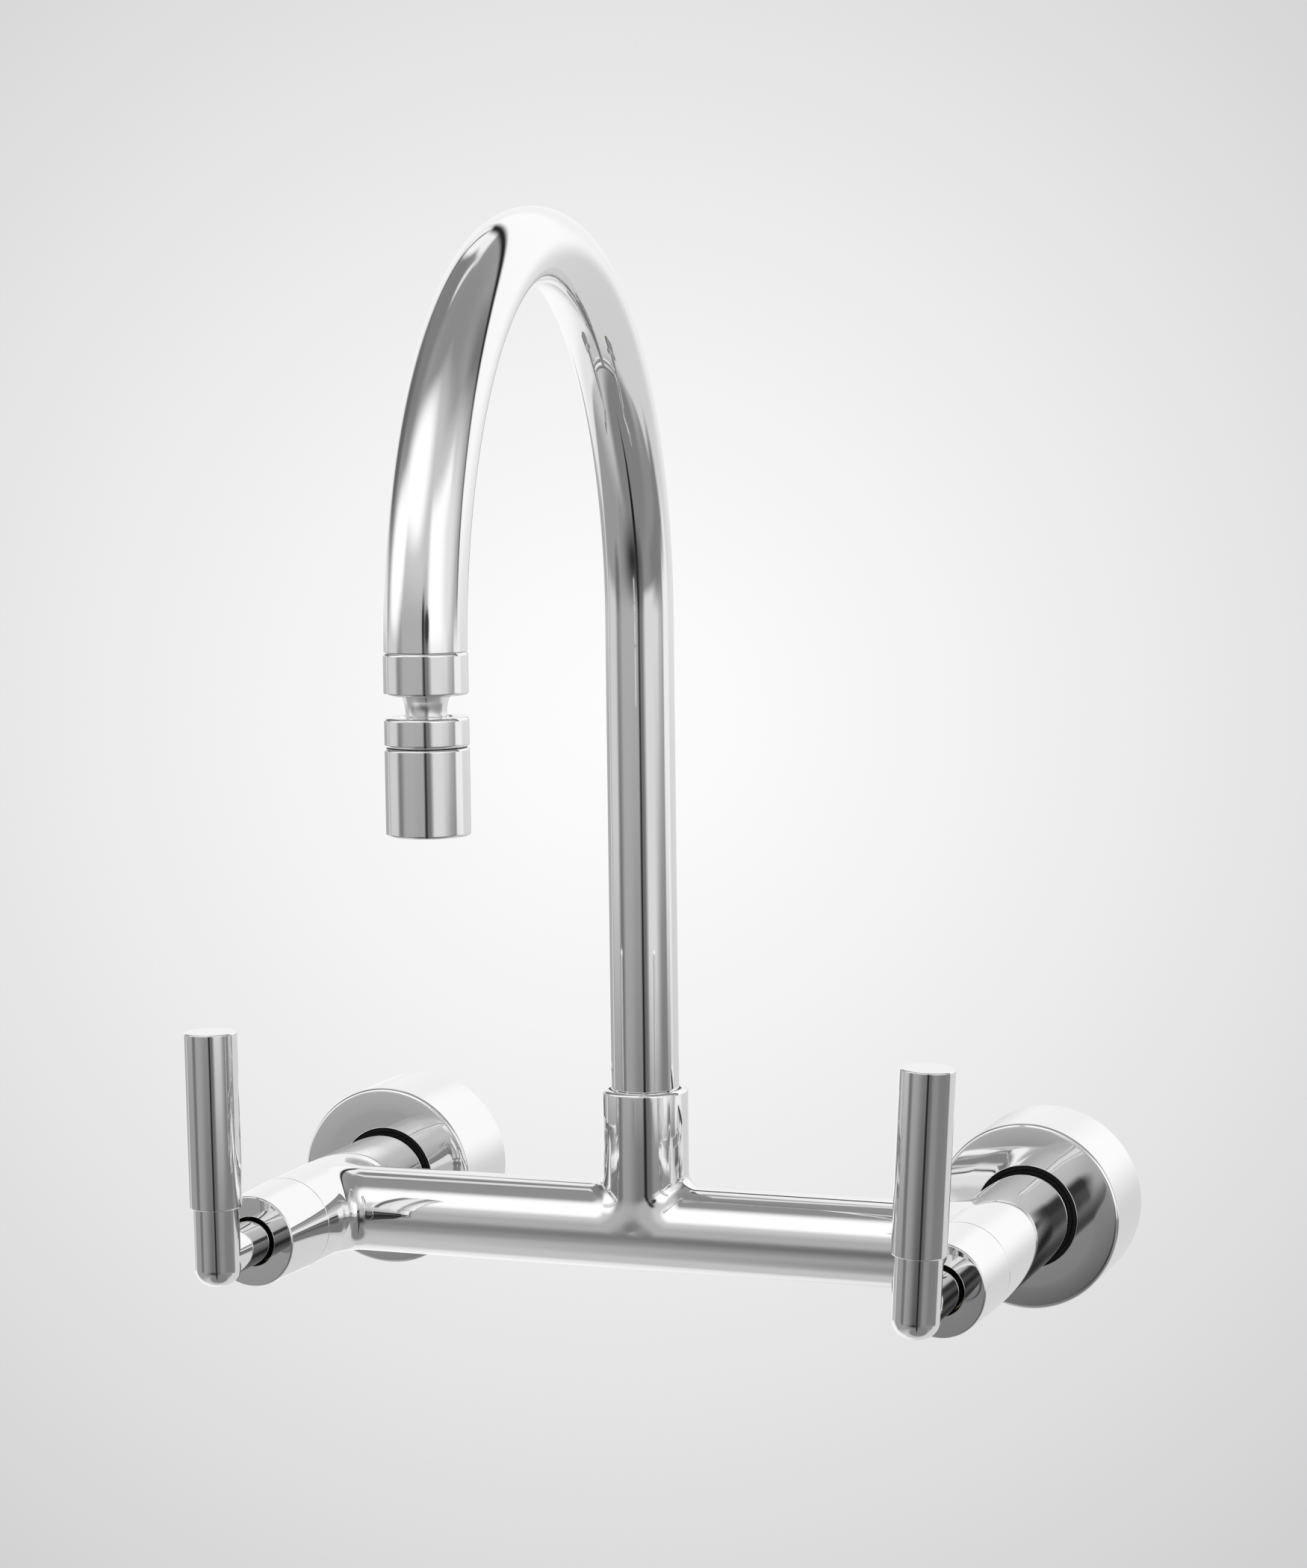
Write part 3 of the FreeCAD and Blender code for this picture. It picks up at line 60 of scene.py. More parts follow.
lens = bpy.data.cameras.new("portrait_lens")
lens.sensor_fit = "AUTO"
lens.sensor_width = 36
lens.lens = 85.143
camera = bpy.data.objects.new("camera", lens)
scene.collection.objects.link(camera)
scene.camera = camera
aim = Matrix.Rotation(view_turn, 4, "Z") @ Matrix.Rotation(math.pi / 2 - view_drop, 4, "X")
away = aim.to_3x3() @ Vector((0, 0, 1))
camera.matrix_world = (Matrix.Translation(view_target + away * view_distance) @ aim
                       @ Matrix.Rotation(view_roll, 4, "Z"))


# Studio
# The faucet hangs in a photographer's white tent. Two big white sheets light it from the upper left and the
# right, a narrow gap is left open round the lens, and a pale disc with a dark rim stands behind it.

class Wire:
    """One socket of a node tree: sums written on it add the Math nodes that work them out."""

    def __init__(self, tree, socket=None):
        self.tree = tree
        self.socket = socket

    def node(self, kind, settings=None, sockets=None, output=0):
        """Adds a node, sets it up, feeds its sockets with values or wires, and returns one output."""
        made = self.tree.nodes.new(kind)
        for name, value in (settings or {}).items():
            if name == "stops":
                for count, (place, tone) in enumerate(value):
                    if count > 1:
                        made.color_ramp.elements.new(place)
                    made.color_ramp.elements[count].position = place
                    made.color_ramp.elements[count].color = (*tone, 1)
            else:
                setattr(made, name, value)
        for name, value in (sockets or {}).items():
            if isinstance(value, Wire):
                self.tree.links.new(value.socket, made.inputs[name])
            else:
                made.inputs[name].default_value = value
        return Wire(self.tree, made.outputs[output] if len(made.outputs) else None)

    def math(self, operation, *values):
        return self.node("ShaderNodeMath", {"operation": operation}, dict(enumerate(values)))

    def __add__(self, other):
        return self.math("ADD", self, other)

    def __sub__(self, other):
        return self.math("SUBTRACT", self, other)

    def __rsub__(self, other):
        return self.math("SUBTRACT", other, self)

    def __mul__(self, other):
        return self.math("MULTIPLY", self, other)

    def __truediv__(self, other):
        return self.math("DIVIDE", self, other)

    def __pow__(self, other):
        return self.math("POWER", self, other)

    def __abs__(self):
        return self.math("ABSOLUTE", self)

    __radd__ = __add__
    __rmul__ = __mul__

    def ease(self, start, finish):
        """Rises smoothly from 0 at one value to 1 at the other."""
        sockets = {"Value": self, "From Min": start, "From Max": finish}
        return self.node("ShaderNodeMapRange", {"interpolation_type": "SMOOTHSTEP"}, sockets)


world = bpy.data.worlds.new("studio")
scene.world = world
world.use_nodes = True
world.node_tree.nodes.clear()
tent = Wire(world.node_tree)
ray = tent.node("ShaderNodeTexCoord", output="Generated")
turned_ray = tent.node("ShaderNodeVectorRotate", {"rotation_type": "Z_AXIS"},
                       {"Vector": ray, "Angle": -view_turn})
across, along, upwards = [tent.node("ShaderNodeSeparateXYZ", sockets={0: turned_ray}, output=axis)
                          for axis in range(3)]
bearing = across.math("ARCTAN2", across, -1 * along) * math.degrees(1)
height = upwards.math("ARCSINE", upwards) * math.degrees(1)


def light_of(grey):
    """The light value of a screen grey of 0 to 255, by the sRGB curve."""
    share = grey / 255
    return share / 12.92 if share < 0.04045 else ((share + 0.055) / 1.055) ** 2.4


class Tent:
    """The tone of the tent seen in each direction, all in degrees. Each cloth is hung by its middle, to the
    right of the lens and above the faucet, with its width and height, its tilt to the right, and the softness
    of its edges."""

    def __init__(self, grey):
        self.tone = bearing * 0 + light_of(grey)

    def paint(self, grey, mask):
        self.tone = self.tone + (light_of(grey) - self.tone) * mask

    def place(self, right, up, tilt):
        aside = bearing.math("WRAP", bearing - right, 180, -180)
        above = height - up
        if not tilt:
            return aside, above
        turn = math.radians(tilt)
        return (aside * math.cos(turn) + above * math.sin(turn),
                above * math.cos(turn) - aside * math.sin(turn))

    def sheet(self, grey, right, up, width, tall, tilt=0, edge=(3, 3)):
        aside, above = self.place(right, up, tilt)
        side, top = edge
        mask = 1 - abs(aside).ease(width / 2 - side, width / 2 + side)
        self.paint(grey, mask * (1 - abs(above).ease(tall / 2 - top, tall / 2 + top)))

    def pool(self, grey, right, up, width, tall, tilt=0, soft=0.3):
        aside, above = self.place(right, up, tilt)
        out = ((aside / (width / 2)) ** 2 + (above / (tall / 2)) ** 2) ** 0.5
        self.paint(grey, 1 - out.ease(1 - soft, 1 + soft))

    def disc(self, grey, right, up, radius, edge):
        around = math.radians(right)
        rise = math.radians(up)
        middle = (math.sin(around) * math.cos(rise), -math.cos(around) * math.cos(rise), math.sin(rise))
        near = turned_ray.node("ShaderNodeVectorMath", {"operation": "DOT_PRODUCT"},
                               {0: turned_ray, 1: middle}, output="Value")
        off_middle = near.math("ARCCOSINE", near) * math.degrees(1)
        self.paint(grey, 1 - off_middle.ease(radius - edge, radius + edge))


studio = Tent(158)
studio.paint(138, height.ease(30, 80))

# The lower half: walls of grey cloth, darkest on the right, over a paler ground.
studio.sheet(150, -92, -30, 60, 60, edge=(4, 6))
studio.sheet(142, -30, -24, 60, 40, edge=(6, 10))
studio.sheet(137, 46, -32, 84, 60, edge=(4, 6))
studio.sheet(122, 66, -14, 44, 12, edge=(10, 3))
studio.paint(192, 1 - height.ease(-60, -34))

# The upper half: shaded cloth left and right of the sheets, and a paler ceiling between them.
studio.pool(125, -132, 42, 70, 40, tilt=-10, soft=0.4)
studio.pool(116, 98, 28, 40, 46, soft=0.6)
studio.pool(195, -10, 44, 100, 60, soft=0.5)

# Behind the faucet: pale cloth, and the disc on a slightly wider dark one.
studio.pool(238, -178, 36, 24, 50, tilt=-8, soft=0.25)
studio.pool(222, -154, 61, 40, 5, soft=0.5)
studio.disc(34, 150, 0, 53, edge=2)
studio.disc(248, 150, 0, 48, edge=2)
studio.pool(240, -165, 38, 16, 22, soft=0.3)
studio.pool(236, -172, 4, 70, 52, tilt=-6, soft=0.15)
studio.sheet(60, -152, 29, 44, 2, tilt=-25, edge=(8, 1))
studio.pool(100, -131, 17, 26, 24, tilt=-20, soft=0.6)
studio.sheet(226, -152, -28, 60, 66, edge=(4, 5))
studio.pool(245, -160, -22, 40, 50, soft=0.5)
studio.sheet(205, 134, -36, 92, 70, edge=(3, 10))
studio.sheet(236, 100, -5, 26, 9, edge=(4, 3))
studio.sheet(168, -141, -8, 30, 11, edge=(3, 3))
studio.sheet(125, 92, -17, 20, 16, edge=(5, 4))

# The two white sheets, with what light they throw on the cloth below them.
studio.pool(255, -84, 15, 52, 28, tilt=22, soft=0.4)
studio.pool(255, -46, 40, 80, 48, tilt=14, soft=0.4)
studio.pool(200, 50, 22, 92, 46, tilt=-8, soft=0.35)
studio.sheet(255, 38, 16, 54, 38, edge=(6, 6))
studio.sheet(225, 66, 12, 26, 28, edge=(12, 8))
studio.sheet(204, -100, -4, 36, 9, edge=(8, 3))
studio.sheet(214, 30, -6, 48, 8, edge=(14, 2))

# The grey sheet that hangs below the left one.
studio.sheet(200, -32, 14, 58, 22, edge=(5, 6))
studio.sheet(172, -32, 2, 58, 22, edge=(5, 8))
studio.pool(112, -74, -12, 16, 16, soft=0.6)

# The gap that the lens looks through, with the camera's own dark shape in it.
studio.pool(110, 6, -18, 24, 44, soft=0.5)
studio.disc(126, 15, -60, 35.6, edge=7)
studio.pool(25, -1, -34, 9, 76, soft=0.4)
studio.pool(60, 8, 5, 12, 9, soft=0.4)
studio.pool(50, -2, 6, 7, 14, soft=0.6)
studio.pool(45, -15, -22, 44, 20, soft=0.95)

# The backdrop is palest near the middle of the picture and falls off evenly to its edges.
palest_grey = 253
palest_aside = -0.0101
palest_above = 0.0201
fade_angle = 11.4
fade_bend = 1.2
fade_depth = 0.225
darkest_light = 0.6
palest = (aim.to_3x3() @ Vector((palest_aside, palest_above, -1))).normalized()
near_palest = tent.node("ShaderNodeVectorMath", {"operation": "DOT_PRODUCT"}, {0: ray, 1: tuple(palest)},
                        output="Value")
off_palest = tent.math("ARCCOSINE", near_palest) * math.degrees(1)
fading = light_of(palest_grey) - (off_palest / fade_angle) ** fade_bend * fade_depth
backdrop = tent.math("MAXIMUM", fading, darkest_light)

# The lens sees the backdrop, the plate mirrors the tent, and all else is lit by plain light. The tones are
# those of the tent as the plate shows it, so they are divided by the plate's own shade.
chrome_shade = 0.86
plain_light = 0.8
seen, glossy, through = [tent.node("ShaderNodeLightPath", output=name)
                         for name in ("Is Camera Ray", "Is Glossy Ray", "Is Transmission Ray")]
mirrored = glossy + through
level = seen * backdrop + mirrored * studio.tone / chrome_shade + (1 - seen - mirrored) * plain_light
background = tent.node("ShaderNodeBackground", sockets={"Color": level, "Strength": 1.0})
tent.node("ShaderNodeOutputWorld", sockets={"Surface": background})

floor_height = -1.05
floor_reach = 2.4
floor_fade = 1.2
shape = bmesh.new()
bmesh.ops.create_circle(shape, cap_ends=True, segments=96, radius=floor_reach,
                        matrix=Matrix.Translation((0, 0, floor_height)))
floor_mesh = bpy.data.meshes.new("floor")
shape.to_mesh(floor_mesh)
shape.free()
floor = bpy.data.objects.new("floor", floor_mesh)
scene.collection.objects.link(floor)
floor.visible_glossy = False
floor.visible_transmission = False
floor_paint = bpy.data.materials.new("floor_paint")
floor_paint.use_nodes = True
floor_shader = floor_paint.node_tree.nodes["Principled BSDF"]
floor_shader.inputs["Base Color"].default_value = (0.93, 0.93, 0.93, 1)
floor_shader.inputs["Roughness"].default_value = 0.9
floor_tree = Wire(floor_paint.node_tree)
floor_places = floor_tree.node("ShaderNodeTexCoord", output="Object")
out = floor_places.node("ShaderNodeVectorMath", {"operation": "LENGTH"}, {0: floor_places}, output="Value")
floor_tree.tree.links.new((1 - out.ease(floor_fade, floor_reach)).socket, floor_shader.inputs["Alpha"])
floor_mesh.materials.append(floor_paint)

softbox = bpy.data.lights.new("softbox", "AREA")
softbox.shape = "RECTANGLE"
softbox.size = 1.6
softbox.size_y = 1.2
softbox.energy = 12
softbox_stand = bpy.data.objects.new("softbox", softbox)
scene.collection.objects.link(softbox_stand)
softbox_place = Vector((-0.9, -1.1, 1.7))
softbox_target = Vector((0, -0.1, 0.1))
softbox_stand.location = softbox_place
softbox_stand.rotation_euler = (softbox_target - softbox_place).to_track_quat("-Z", "Y").to_euler()
softbox_stand.visible_glossy = False


# Chromium plate
# Every outer piece is brass, buffed to a mirror and plated. The buffing leaves a very slight ripple, and
# wiping leaves faint hazy patches.

def surface(name, base, rough, metallic=0.0, specular=0.5):
    """A new material whose shader takes the constants; returned with its shader and a wire of its tree."""
    material = bpy.data.materials.new(name)
    material.use_nodes = True
    shader = material.node_tree.nodes["Principled BSDF"]
    shader.inputs["Metallic"].default_value = metallic
    shader.inputs["Specular IOR Level"].default_value = specular
    shader.inputs["Base Color"].default_value = (*base, 1)
    shader.inputs["Roughness"].default_value = rough
    return material, shader, Wire(material.node_tree)


def feed(wire, shader, socket):
    """Links a wire to a socket of the material's shader."""
    wire.tree.links.new(wire.socket, shader.inputs[socket])


def object_places(tree, scale=(1, 1, 1)):
    """The piece's own coordinates in metres, stretched along its axes."""
    places = tree.node("ShaderNodeTexCoord", output="Object")
    return tree.node("ShaderNodeMapping", sockets={"Vector": places, "Scale": scale})


def noise(places, scale, detail=2.0, roughness=0.5):
    return places.node("ShaderNodeTexNoise", sockets={"Vector": places, "Scale": scale, "Detail": detail,
                                                      "Roughness": roughness})


def tint(mask, first, second):
    """A colour that goes from the first to the second as the mask goes from 0 to 1. The Mix node has its
    colours at sockets 6 and 7, and their mix at output 2."""
    sockets = {0: mask, 6: (*first, 1), 7: (*second, 1)}
    return mask.node("ShaderNodeMix", {"data_type": "RGBA"}, sockets, output=2)


def relief(height_wire, strength, distance):
    """A normal bent by the slopes of a height, at a relief of this distance in metres."""
    return height_wire.node("ShaderNodeBump", sockets={"Strength": strength, "Distance": distance,
                                                       "Height": height_wire})


def plated(name, shade, least_rough, most_rough, ripple_strength, ripple_scale=90):
    """Chromium plate: its haze lies in patches between the least and the most rough."""
    material, shader, tree = surface(name, (shade,) * 3, least_rough, metallic=1.0)
    places = object_places(tree)
    haze = noise(places, 45, detail=4).ease(0.35, 0.75)
    feed(haze * (most_rough - least_rough) + least_rough, shader, "Roughness")
    feed(tint(noise(places, 20), (shade * 0.985,) * 3, (shade * 1.015,) * 3), shader, "Base Color")
    feed(relief(noise(places, ripple_scale, detail=0), ripple_strength, 0.0003), shader, "Normal")
    return material


def dress(finish, *nodes):
    """Gives CAD pieces their finish."""
    for node in nodes:
        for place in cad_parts[node].material_slots:
            place.material = finish


def both(*pieces):
    """The names of pieces that each side of the faucet has."""
    return [f"{side}_{piece}" for side in ("left", "right") for piece in pieces]


chrome = plated("chrome", chrome_shade, least_rough=0.03, most_rough=0.06, ripple_strength=0.04)
dress(chrome, *both("leg"))


# Cast body
# Bridge, valve housings and tee boss are one brass casting. The pattern's walls run into each other in wide
# soft hollows, which the buffing softens further, so their mirrored lines bend instead of breaking.

bridge_radius = 0.01235
boss_radius = 0.0122
housing_radius = 0.0135
bridge_standoff = 0.0728
housing_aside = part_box("mixer_body")[1].x - housing_radius
boss_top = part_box("mixer_body")[1].z
boss_hollow = (0.0095, 0.0042)
housing_hollow = (0.0085, 0.0055)
flat_turn = 0.12
least_reach = 1e-9
hollow_foot = -0.006
hollow_rise = 0.01
weld = 1e-6
crease = math.radians(30)


def finished(name, shape, finish, body, node):
    """Makes a piece of a form. It rides this body and stands for this CAD piece."""
    mesh = bpy.data.meshes.new(name)
    shape.to_mesh(mesh)
    shape.free()
    mesh.set_sharp_from_angle(angle=crease)
    mesh.materials.append(finish)
    piece = bpy.data.objects.new(name, mesh)
    scene.collection.objects.link(piece)
    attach(piece, body)
    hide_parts(node)
    return piece


def wall(places, start, finish, radius):
    """Distance outside a round bar with these middle ends, and the direction straight out of it."""
    start = np.array(start)
    along = np.array(finish) - start
    share = np.clip((places - start) @ along / (along @ along), 0, 1)
    out = places - start - share[:, None] * along
    reach = np.linalg.norm(out, axis=1)
    return reach - radius, out / reach[:, None]


def joined(first, second, width):
    """Distance outside two walls, with a soft hollow where they meet. Its two widths are for walls that meet
    nearly flat and for walls that meet squarely."""
    first_depth, first_out = first
    second_depth, second_out = second
    flat, square = width
    turn = np.linalg.norm(np.cross(first_out, second_out), axis=1)
    reach = turn ** 2 / (turn + flat_turn) * (flat + (square - flat) * turn) + least_reach
    share = np.clip(1 - np.abs(first_depth - second_depth) / reach, 0, 1)
    return np.minimum(first_depth, second_depth) - reach * share ** 2 / 4


def body_depth(places, softness=1):
    """How far a place lies outside the casting's skin; inside it is negative. Softness scales its hollows."""
    folded = np.abs(places) * (1, 0, 0) + places * (0, 1, 1)
    tee = (0, -bridge_standoff, 0)
    bridge = wall(folded, tee, (housing_aside, -bridge_standoff, 0), bridge_radius)
    boss = wall(folded, tee, (0, -bridge_standoff, boss_top), boss_radius)
    housing = wall(folded, (housing_aside, 0, 0), (housing_aside, -bridge_standoff * 2, 0), housing_radius)

    # The hollow round the boss fades out about the bridge's middle, where the boss ends inside the bridge.
    rise = np.clip((folded[:, 2] - hollow_foot) / hollow_rise, 0, 1)
    above = softness * rise * rise * (3 - 2 * rise)
    beside_boss = joined(bridge, boss, [width * above for width in boss_hollow])
    beside_housing = joined(bridge, housing, [width * softness for width in housing_hollow])
    return np.minimum(beside_boss, beside_housing)


def body_slope(places):
    """The direction straight out of the casting's soft skin."""
    step = 1e-5
    ways = np.eye(3) * step
    slope = np.stack([body_depth(places + way) - body_depth(places - way) for way in ways], axis=1)
    return slope / np.linalg.norm(slope, axis=1)[:, None]


shape = bmesh.new()
shape.from_mesh(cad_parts["mixer_body"].data)
bmesh.ops.remove_doubles(shape, verts=shape.verts, dist=weld)

# The faces of the outer skin are marked by their material index until the skin has its final form.
skin_depth = 0.0001
depths = body_depth(np.array([vert.co for vert in shape.verts]), softness=0)
shape.verts.index_update()
for face in shape.faces:
    face.material_index = int(all(depths[vert.index] > -skin_depth for vert in face.verts))

slice_step = 0.0011
slice_merge = 2e-5


def slice_skin(shape, axis, start, way, count, middle, reach):
    """Cuts the skin across one axis, from the start on, where it lies within reach of the middle."""
    normal = Vector([float(k == axis) for k in range(3)])
    for step in range(count):
        place = start + way * step * slice_step
        cut = []
        for face in shape.faces:
            if face.material_index:
                ends = [vert.co[axis] for vert in face.verts]
                if min(ends) < place < max(ends):
                    off = face.calc_center_median() - Vector(middle)
                    if all(abs(off[k]) < reach[k] for k in range(3) if k != axis):
                        cut.append(face)
        around = {part for face in cut for part in (*face.verts, *face.edges)}
        bmesh.ops.bisect_plane(shape, geom=cut + list(around), dist=slice_merge,
                               plane_co=normal * place, plane_no=normal)


# The skin is sliced finely where the walls meet: the bridge at the tee and at the housings, the boss, and the
# housings at the bridge.
slice_skin(shape, axis=0, start=-0.022, way=1, count=41, middle=(0, -bridge_standoff, 0.008),
           reach=(0, 0.014, 0.016))
for side in (-1, 1):
    slice_skin(shape, axis=0, start=side * 0.074, way=side, count=24, middle=(0, -0.078, 0),
               reach=(0, 0.023, 0.015))
slice_skin(shape, axis=2, start=-0.002, way=1, count=25, middle=(0, -bridge_standoff, 0),
           reach=(0.024, 0.014, 0))
for side in (-1, 1):
    slice_skin(shape, axis=1, start=-0.0995, way=1, count=39, middle=(side * housing_aside, 0, 0),
               reach=(0.024, 0, 0.015))
bmesh.ops.triangulate(shape, faces=shape.faces)

# The skin is drawn onto the soft form, but for the boss's mouth and the fronts of the housings.
mouth_foot = 0.038
housing_front = -0.1
draws = 5
skin = {vert for face in shape.faces if face.material_index for vert in face.verts}
skin = [vert for vert in skin if vert.co.z < mouth_foot and vert.co.y > housing_front]
places = np.array([vert.co for vert in skin])
for _ in range(draws):
    places -= body_slope(places) * body_depth(places)[:, None]
for vert, place in zip(skin, places):
    vert.co = place
shape.verts.index_update()
normals = np.zeros((len(shape.verts), 3))
normals[[vert.index for vert in skin]] = body_slope(places)
for face in shape.faces:
    face.material_index = 0
    face.smooth = True
body = finished("soft_body", shape, chrome, "mixer", "mixer_body")
body.data.normals_split_custom_set_from_vertices([tuple(normal) for normal in normals])


# Wall flanges
# Each flange is a deep cup of plated brass, spun and then turned. Its front is flat about the hole and falls
# softly to the rim, which buffing has rounded. A black rubber ring in its bore holds it on the leg.

def turned(name, corners, rounds, steps, place, way, body, finish, node):
    """A ring turned about the line that runs this way through a place. Its corners are (radius, along the
    line), and rounds gives a corner, by its number, the length that its edge is rounded by and its steps."""
    shape = bmesh.new()
    verts = [shape.verts.new(place + Vector((radius, 0, 0)) + way * along) for radius, along in corners]
    for first, second in zip(verts, verts[1:] + verts[:1]):
        shape.edges.new((first, second))
    for corner, (length, parts) in rounds.items():
        bmesh.ops.bevel(shape, geom=[verts[corner]], offset=length, offset_type="OFFSET", segments=parts,
                        profile=0.5, affect="VERTICES", material=-1)
    bmesh.ops.spin(shape, geom=shape.verts[:] + shape.edges[:], cent=place, axis=way,
                   angle=math.tau, steps=steps, use_merge=True)
    bmesh.ops.remove_doubles(shape, verts=shape.verts, dist=weld / 10)
    bmesh.ops.recalc_face_normals(shape, faces=shape.faces)
    for face in shape.faces:
        face.smooth = True
    ring = finished(name, shape, finish, body, node)
    evened = ring.modifiers.new("evened", "WEIGHTED_NORMAL")
    evened.keep_sharp = True
    return ring


flange_low, flange_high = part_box("left_flange")
flange_radius = flange_high.z
flange_depth = -flange_low.y
flange_wall = 0.0015
flange_fall = 0.00022
flange_fall_width = 0.0042
flange_hole = 0.01485
flange_lip = 0.0017
ring_groove_radius = 0.0166
ring_groove_width = 0.0032
flange_boss_radius = 0.019
plate_back = flange_depth - flange_lip
groove_back = plate_back - ring_groove_width
boss_back = groove_back - flange_wall
back_round = 0.0003
rim_round = 0.0011
fall_round = 0.0029
hole_round = 0.0003
flange_steps = 160
forwards = Vector((0, -1, 0))
# A near-black, rough metal for bare bores and grooves: painted shade, where their walls lie in shadow.
shaded_bore = plated("shaded_bore", shade=0.1, least_rough=0.45, most_rough=0.6, ripple_strength=0.1)
bore_lead = 0.0004


def paint_bore_shade(ring, middle, radius, plated_to):
    """Paints a ring's bare bore within this radius with painted shade, from a little way in from the front.
    """
    ring.data.materials.append(shaded_bore)
    for face in ring.data.polygons:
        out = face.center - middle
        if math.hypot(out.x, out.z) < radius and -out.y < plated_to:
            face.material_index = 1


for side, aside in (("left", -housing_aside), ("right", housing_aside)):
    middle = Vector((aside, 0, 0))
    flange = turned(f"{side}_soft_flange", [
        (flange_radius - flange_wall, 0),
        (flange_radius, 0),
        (flange_radius, flange_depth - flange_fall),
        (flange_radius - flange_fall_width, flange_depth),
        (flange_hole, flange_depth),
        (flange_hole, plate_back),
        (ring_groove_radius, plate_back),
        (ring_groove_radius, groove_back),
        (flange_hole, groove_back),
        (flange_hole, boss_back),
        (flange_boss_radius, boss_back),
        (flange_boss_radius, plate_back),
        (flange_radius - flange_wall, plate_back),
    ], {3: (fall_round, 14), 2: (rim_round, 8), 4: (hole_round, 5), 1: (back_round, 3)}, flange_steps,
        middle, forwards, f"{side}_cover_flange", chrome, f"{side}_flange")
    # The bore behind the front is painted near-black: painted shade.
    paint_bore_shade(flange, middle, ring_groove_radius, flange_depth - bore_lead)

rubber, shader, tree = surface("black_rubber", (0.014, 0.014, 0.015), rough=0.9, specular=0.0)
places = object_places(tree)
feed(noise(places, 900, detail=3) * 0.15 + 0.8, shader, "Roughness")
feed(tint(noise(places, 160, detail=3), (0.01, 0.01, 0.011), (0.02, 0.02, 0.021)), shader, "Base Color")
dress(rubber, *both("headwork_gasket", "seat_seal", "spindle_o_rings", "union_washer"), "swivel_o_rings",
      "nozzle_gasket", "aerator_gasket")

leg_radius = 0.0135
ring_gap = 0.00005
ring_set_back = 0.0006
ring_round = 0.0006
lip_round = 0.0002
for side, aside in (("left", -housing_aside), ("right", housing_aside)):
    middle = Vector((aside, 0, 0))
    turned(f"{side}_lipped_ring", [
        (leg_radius + ring_gap, groove_back + ring_gap),
        (ring_groove_radius - ring_gap, groove_back + ring_gap),
        (ring_groove_radius - ring_gap, plate_back - ring_gap),
        (flange_hole - ring_gap, plate_back - ring_gap),
        (flange_hole - ring_gap, flange_depth - ring_set_back),
        (leg_radius + ring_gap, flange_depth - ring_set_back),
    ], {1: (ring_round, 4), 2: (ring_round, 4), 4: (lip_round, 3), 5: (lip_round, 3)}, flange_steps,
        middle, forwards, f"{side}_cover_flange", rubber, f"{side}_flange_ring")


# Wall unions and nuts
# Under each flange a turned brass union screws into the wall with a G 1/2 thread, and a loose nut pulls the
# leg onto it. They are bare brass, straight from the lathe: fine tool marks and a few brown touches.

brass, shader, tree = surface("turned_brass", (0.72, 0.55, 0.27), rough=0.3, metallic=1.0)
places = object_places(tree)
marks = noise(object_places(tree, (4, 160, 4)), 60, detail=2)
feed(marks * 0.16 + 0.2, shader, "Roughness")
touched = noise(places, 120, detail=5, roughness=0.65).ease(0.52, 0.75)
feed(tint(touched, (0.74, 0.57, 0.28), (0.55, 0.38, 0.17)), shader, "Base Color")
feed(relief(marks, 0.2, 0.00003), shader, "Normal")
dress(brass, *both("wall_union", "union_nut", "headwork", "spindle"), "swivel_stem")

inlet_crest = 0.01048
inlet_root = 0.00932
inlet_pitch = 0.001814
inlet_start = 0.0006
inlet_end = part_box("left_wall_union")[1].y
inlet_turns = 5.25
inlet_steps = 48
inlet_margin = 0.0001
for side, aside in (("left", -housing_aside), ("right", housing_aside)):
    middle = Vector((aside, 0, 0))
    shape = bmesh.new()
    shape.from_mesh(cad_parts[f"{side}_wall_union"].data)
    bmesh.ops.remove_doubles(shape, verts=shape.verts, dist=weld)
    for vert in shape.verts:
        out = Vector((vert.co.x - aside, 0, vert.co.z))
        if vert.co.y > -inlet_start and abs(out.length - inlet_crest) < inlet_margin:
            vert.co -= out.normalized() * (inlet_crest - inlet_root)
    plain = set(shape.faces)

    # The ridge's four corners are given by their radius and their share of the pitch.
    ridge = [(inlet_root, 0.02), (inlet_crest, 0.4), (inlet_crest, 0.58), (inlet_root, 0.96)]
    verts = [shape.verts.new((aside + radius, inlet_start + share * inlet_pitch, 0))
             for radius, share in ridge]
    edges = [shape.edges.new(pair) for pair in zip(verts, verts[1:] + verts[:1])]
    bmesh.ops.spin(shape, geom=verts + edges, cent=middle, axis=(0, 1, 0), angle=math.tau * inlet_turns,
                   dvec=(0, inlet_pitch / inlet_steps, 0), steps=round(inlet_steps * inlet_turns))
    bmesh.ops.holes_fill(shape, edges=[edge for edge in shape.edges if edge.is_boundary], sides=0)
    thread = [face for face in shape.faces if face not in plain]
    bmesh.ops.recalc_face_normals(shape, faces=thread)

    # The ridge rises and ends on a slope, as a thread cut by a die does.
    for vert in {vert for face in thread for vert in face.verts}:
        out = Vector((vert.co.x - aside, 0, vert.co.z))
        rise = min(vert.co.y - inlet_start, inlet_end - vert.co.y)
        lowered = min(out.length, inlet_root + max(rise, 0))
        vert.co += out.normalized() * (lowered - out.length)
    for face in shape.faces:
        face.smooth = True
    finished(f"{side}_threaded_union", shape, brass, "mixer", f"{side}_wall_union")


# Valves
# Each quarter-turn valve has two lapped ceramic discs, which turn on each other under a brass spindle. A
# white low-friction washer takes the spindle's thrust, and a clip of stainless steel keeps it in its place.

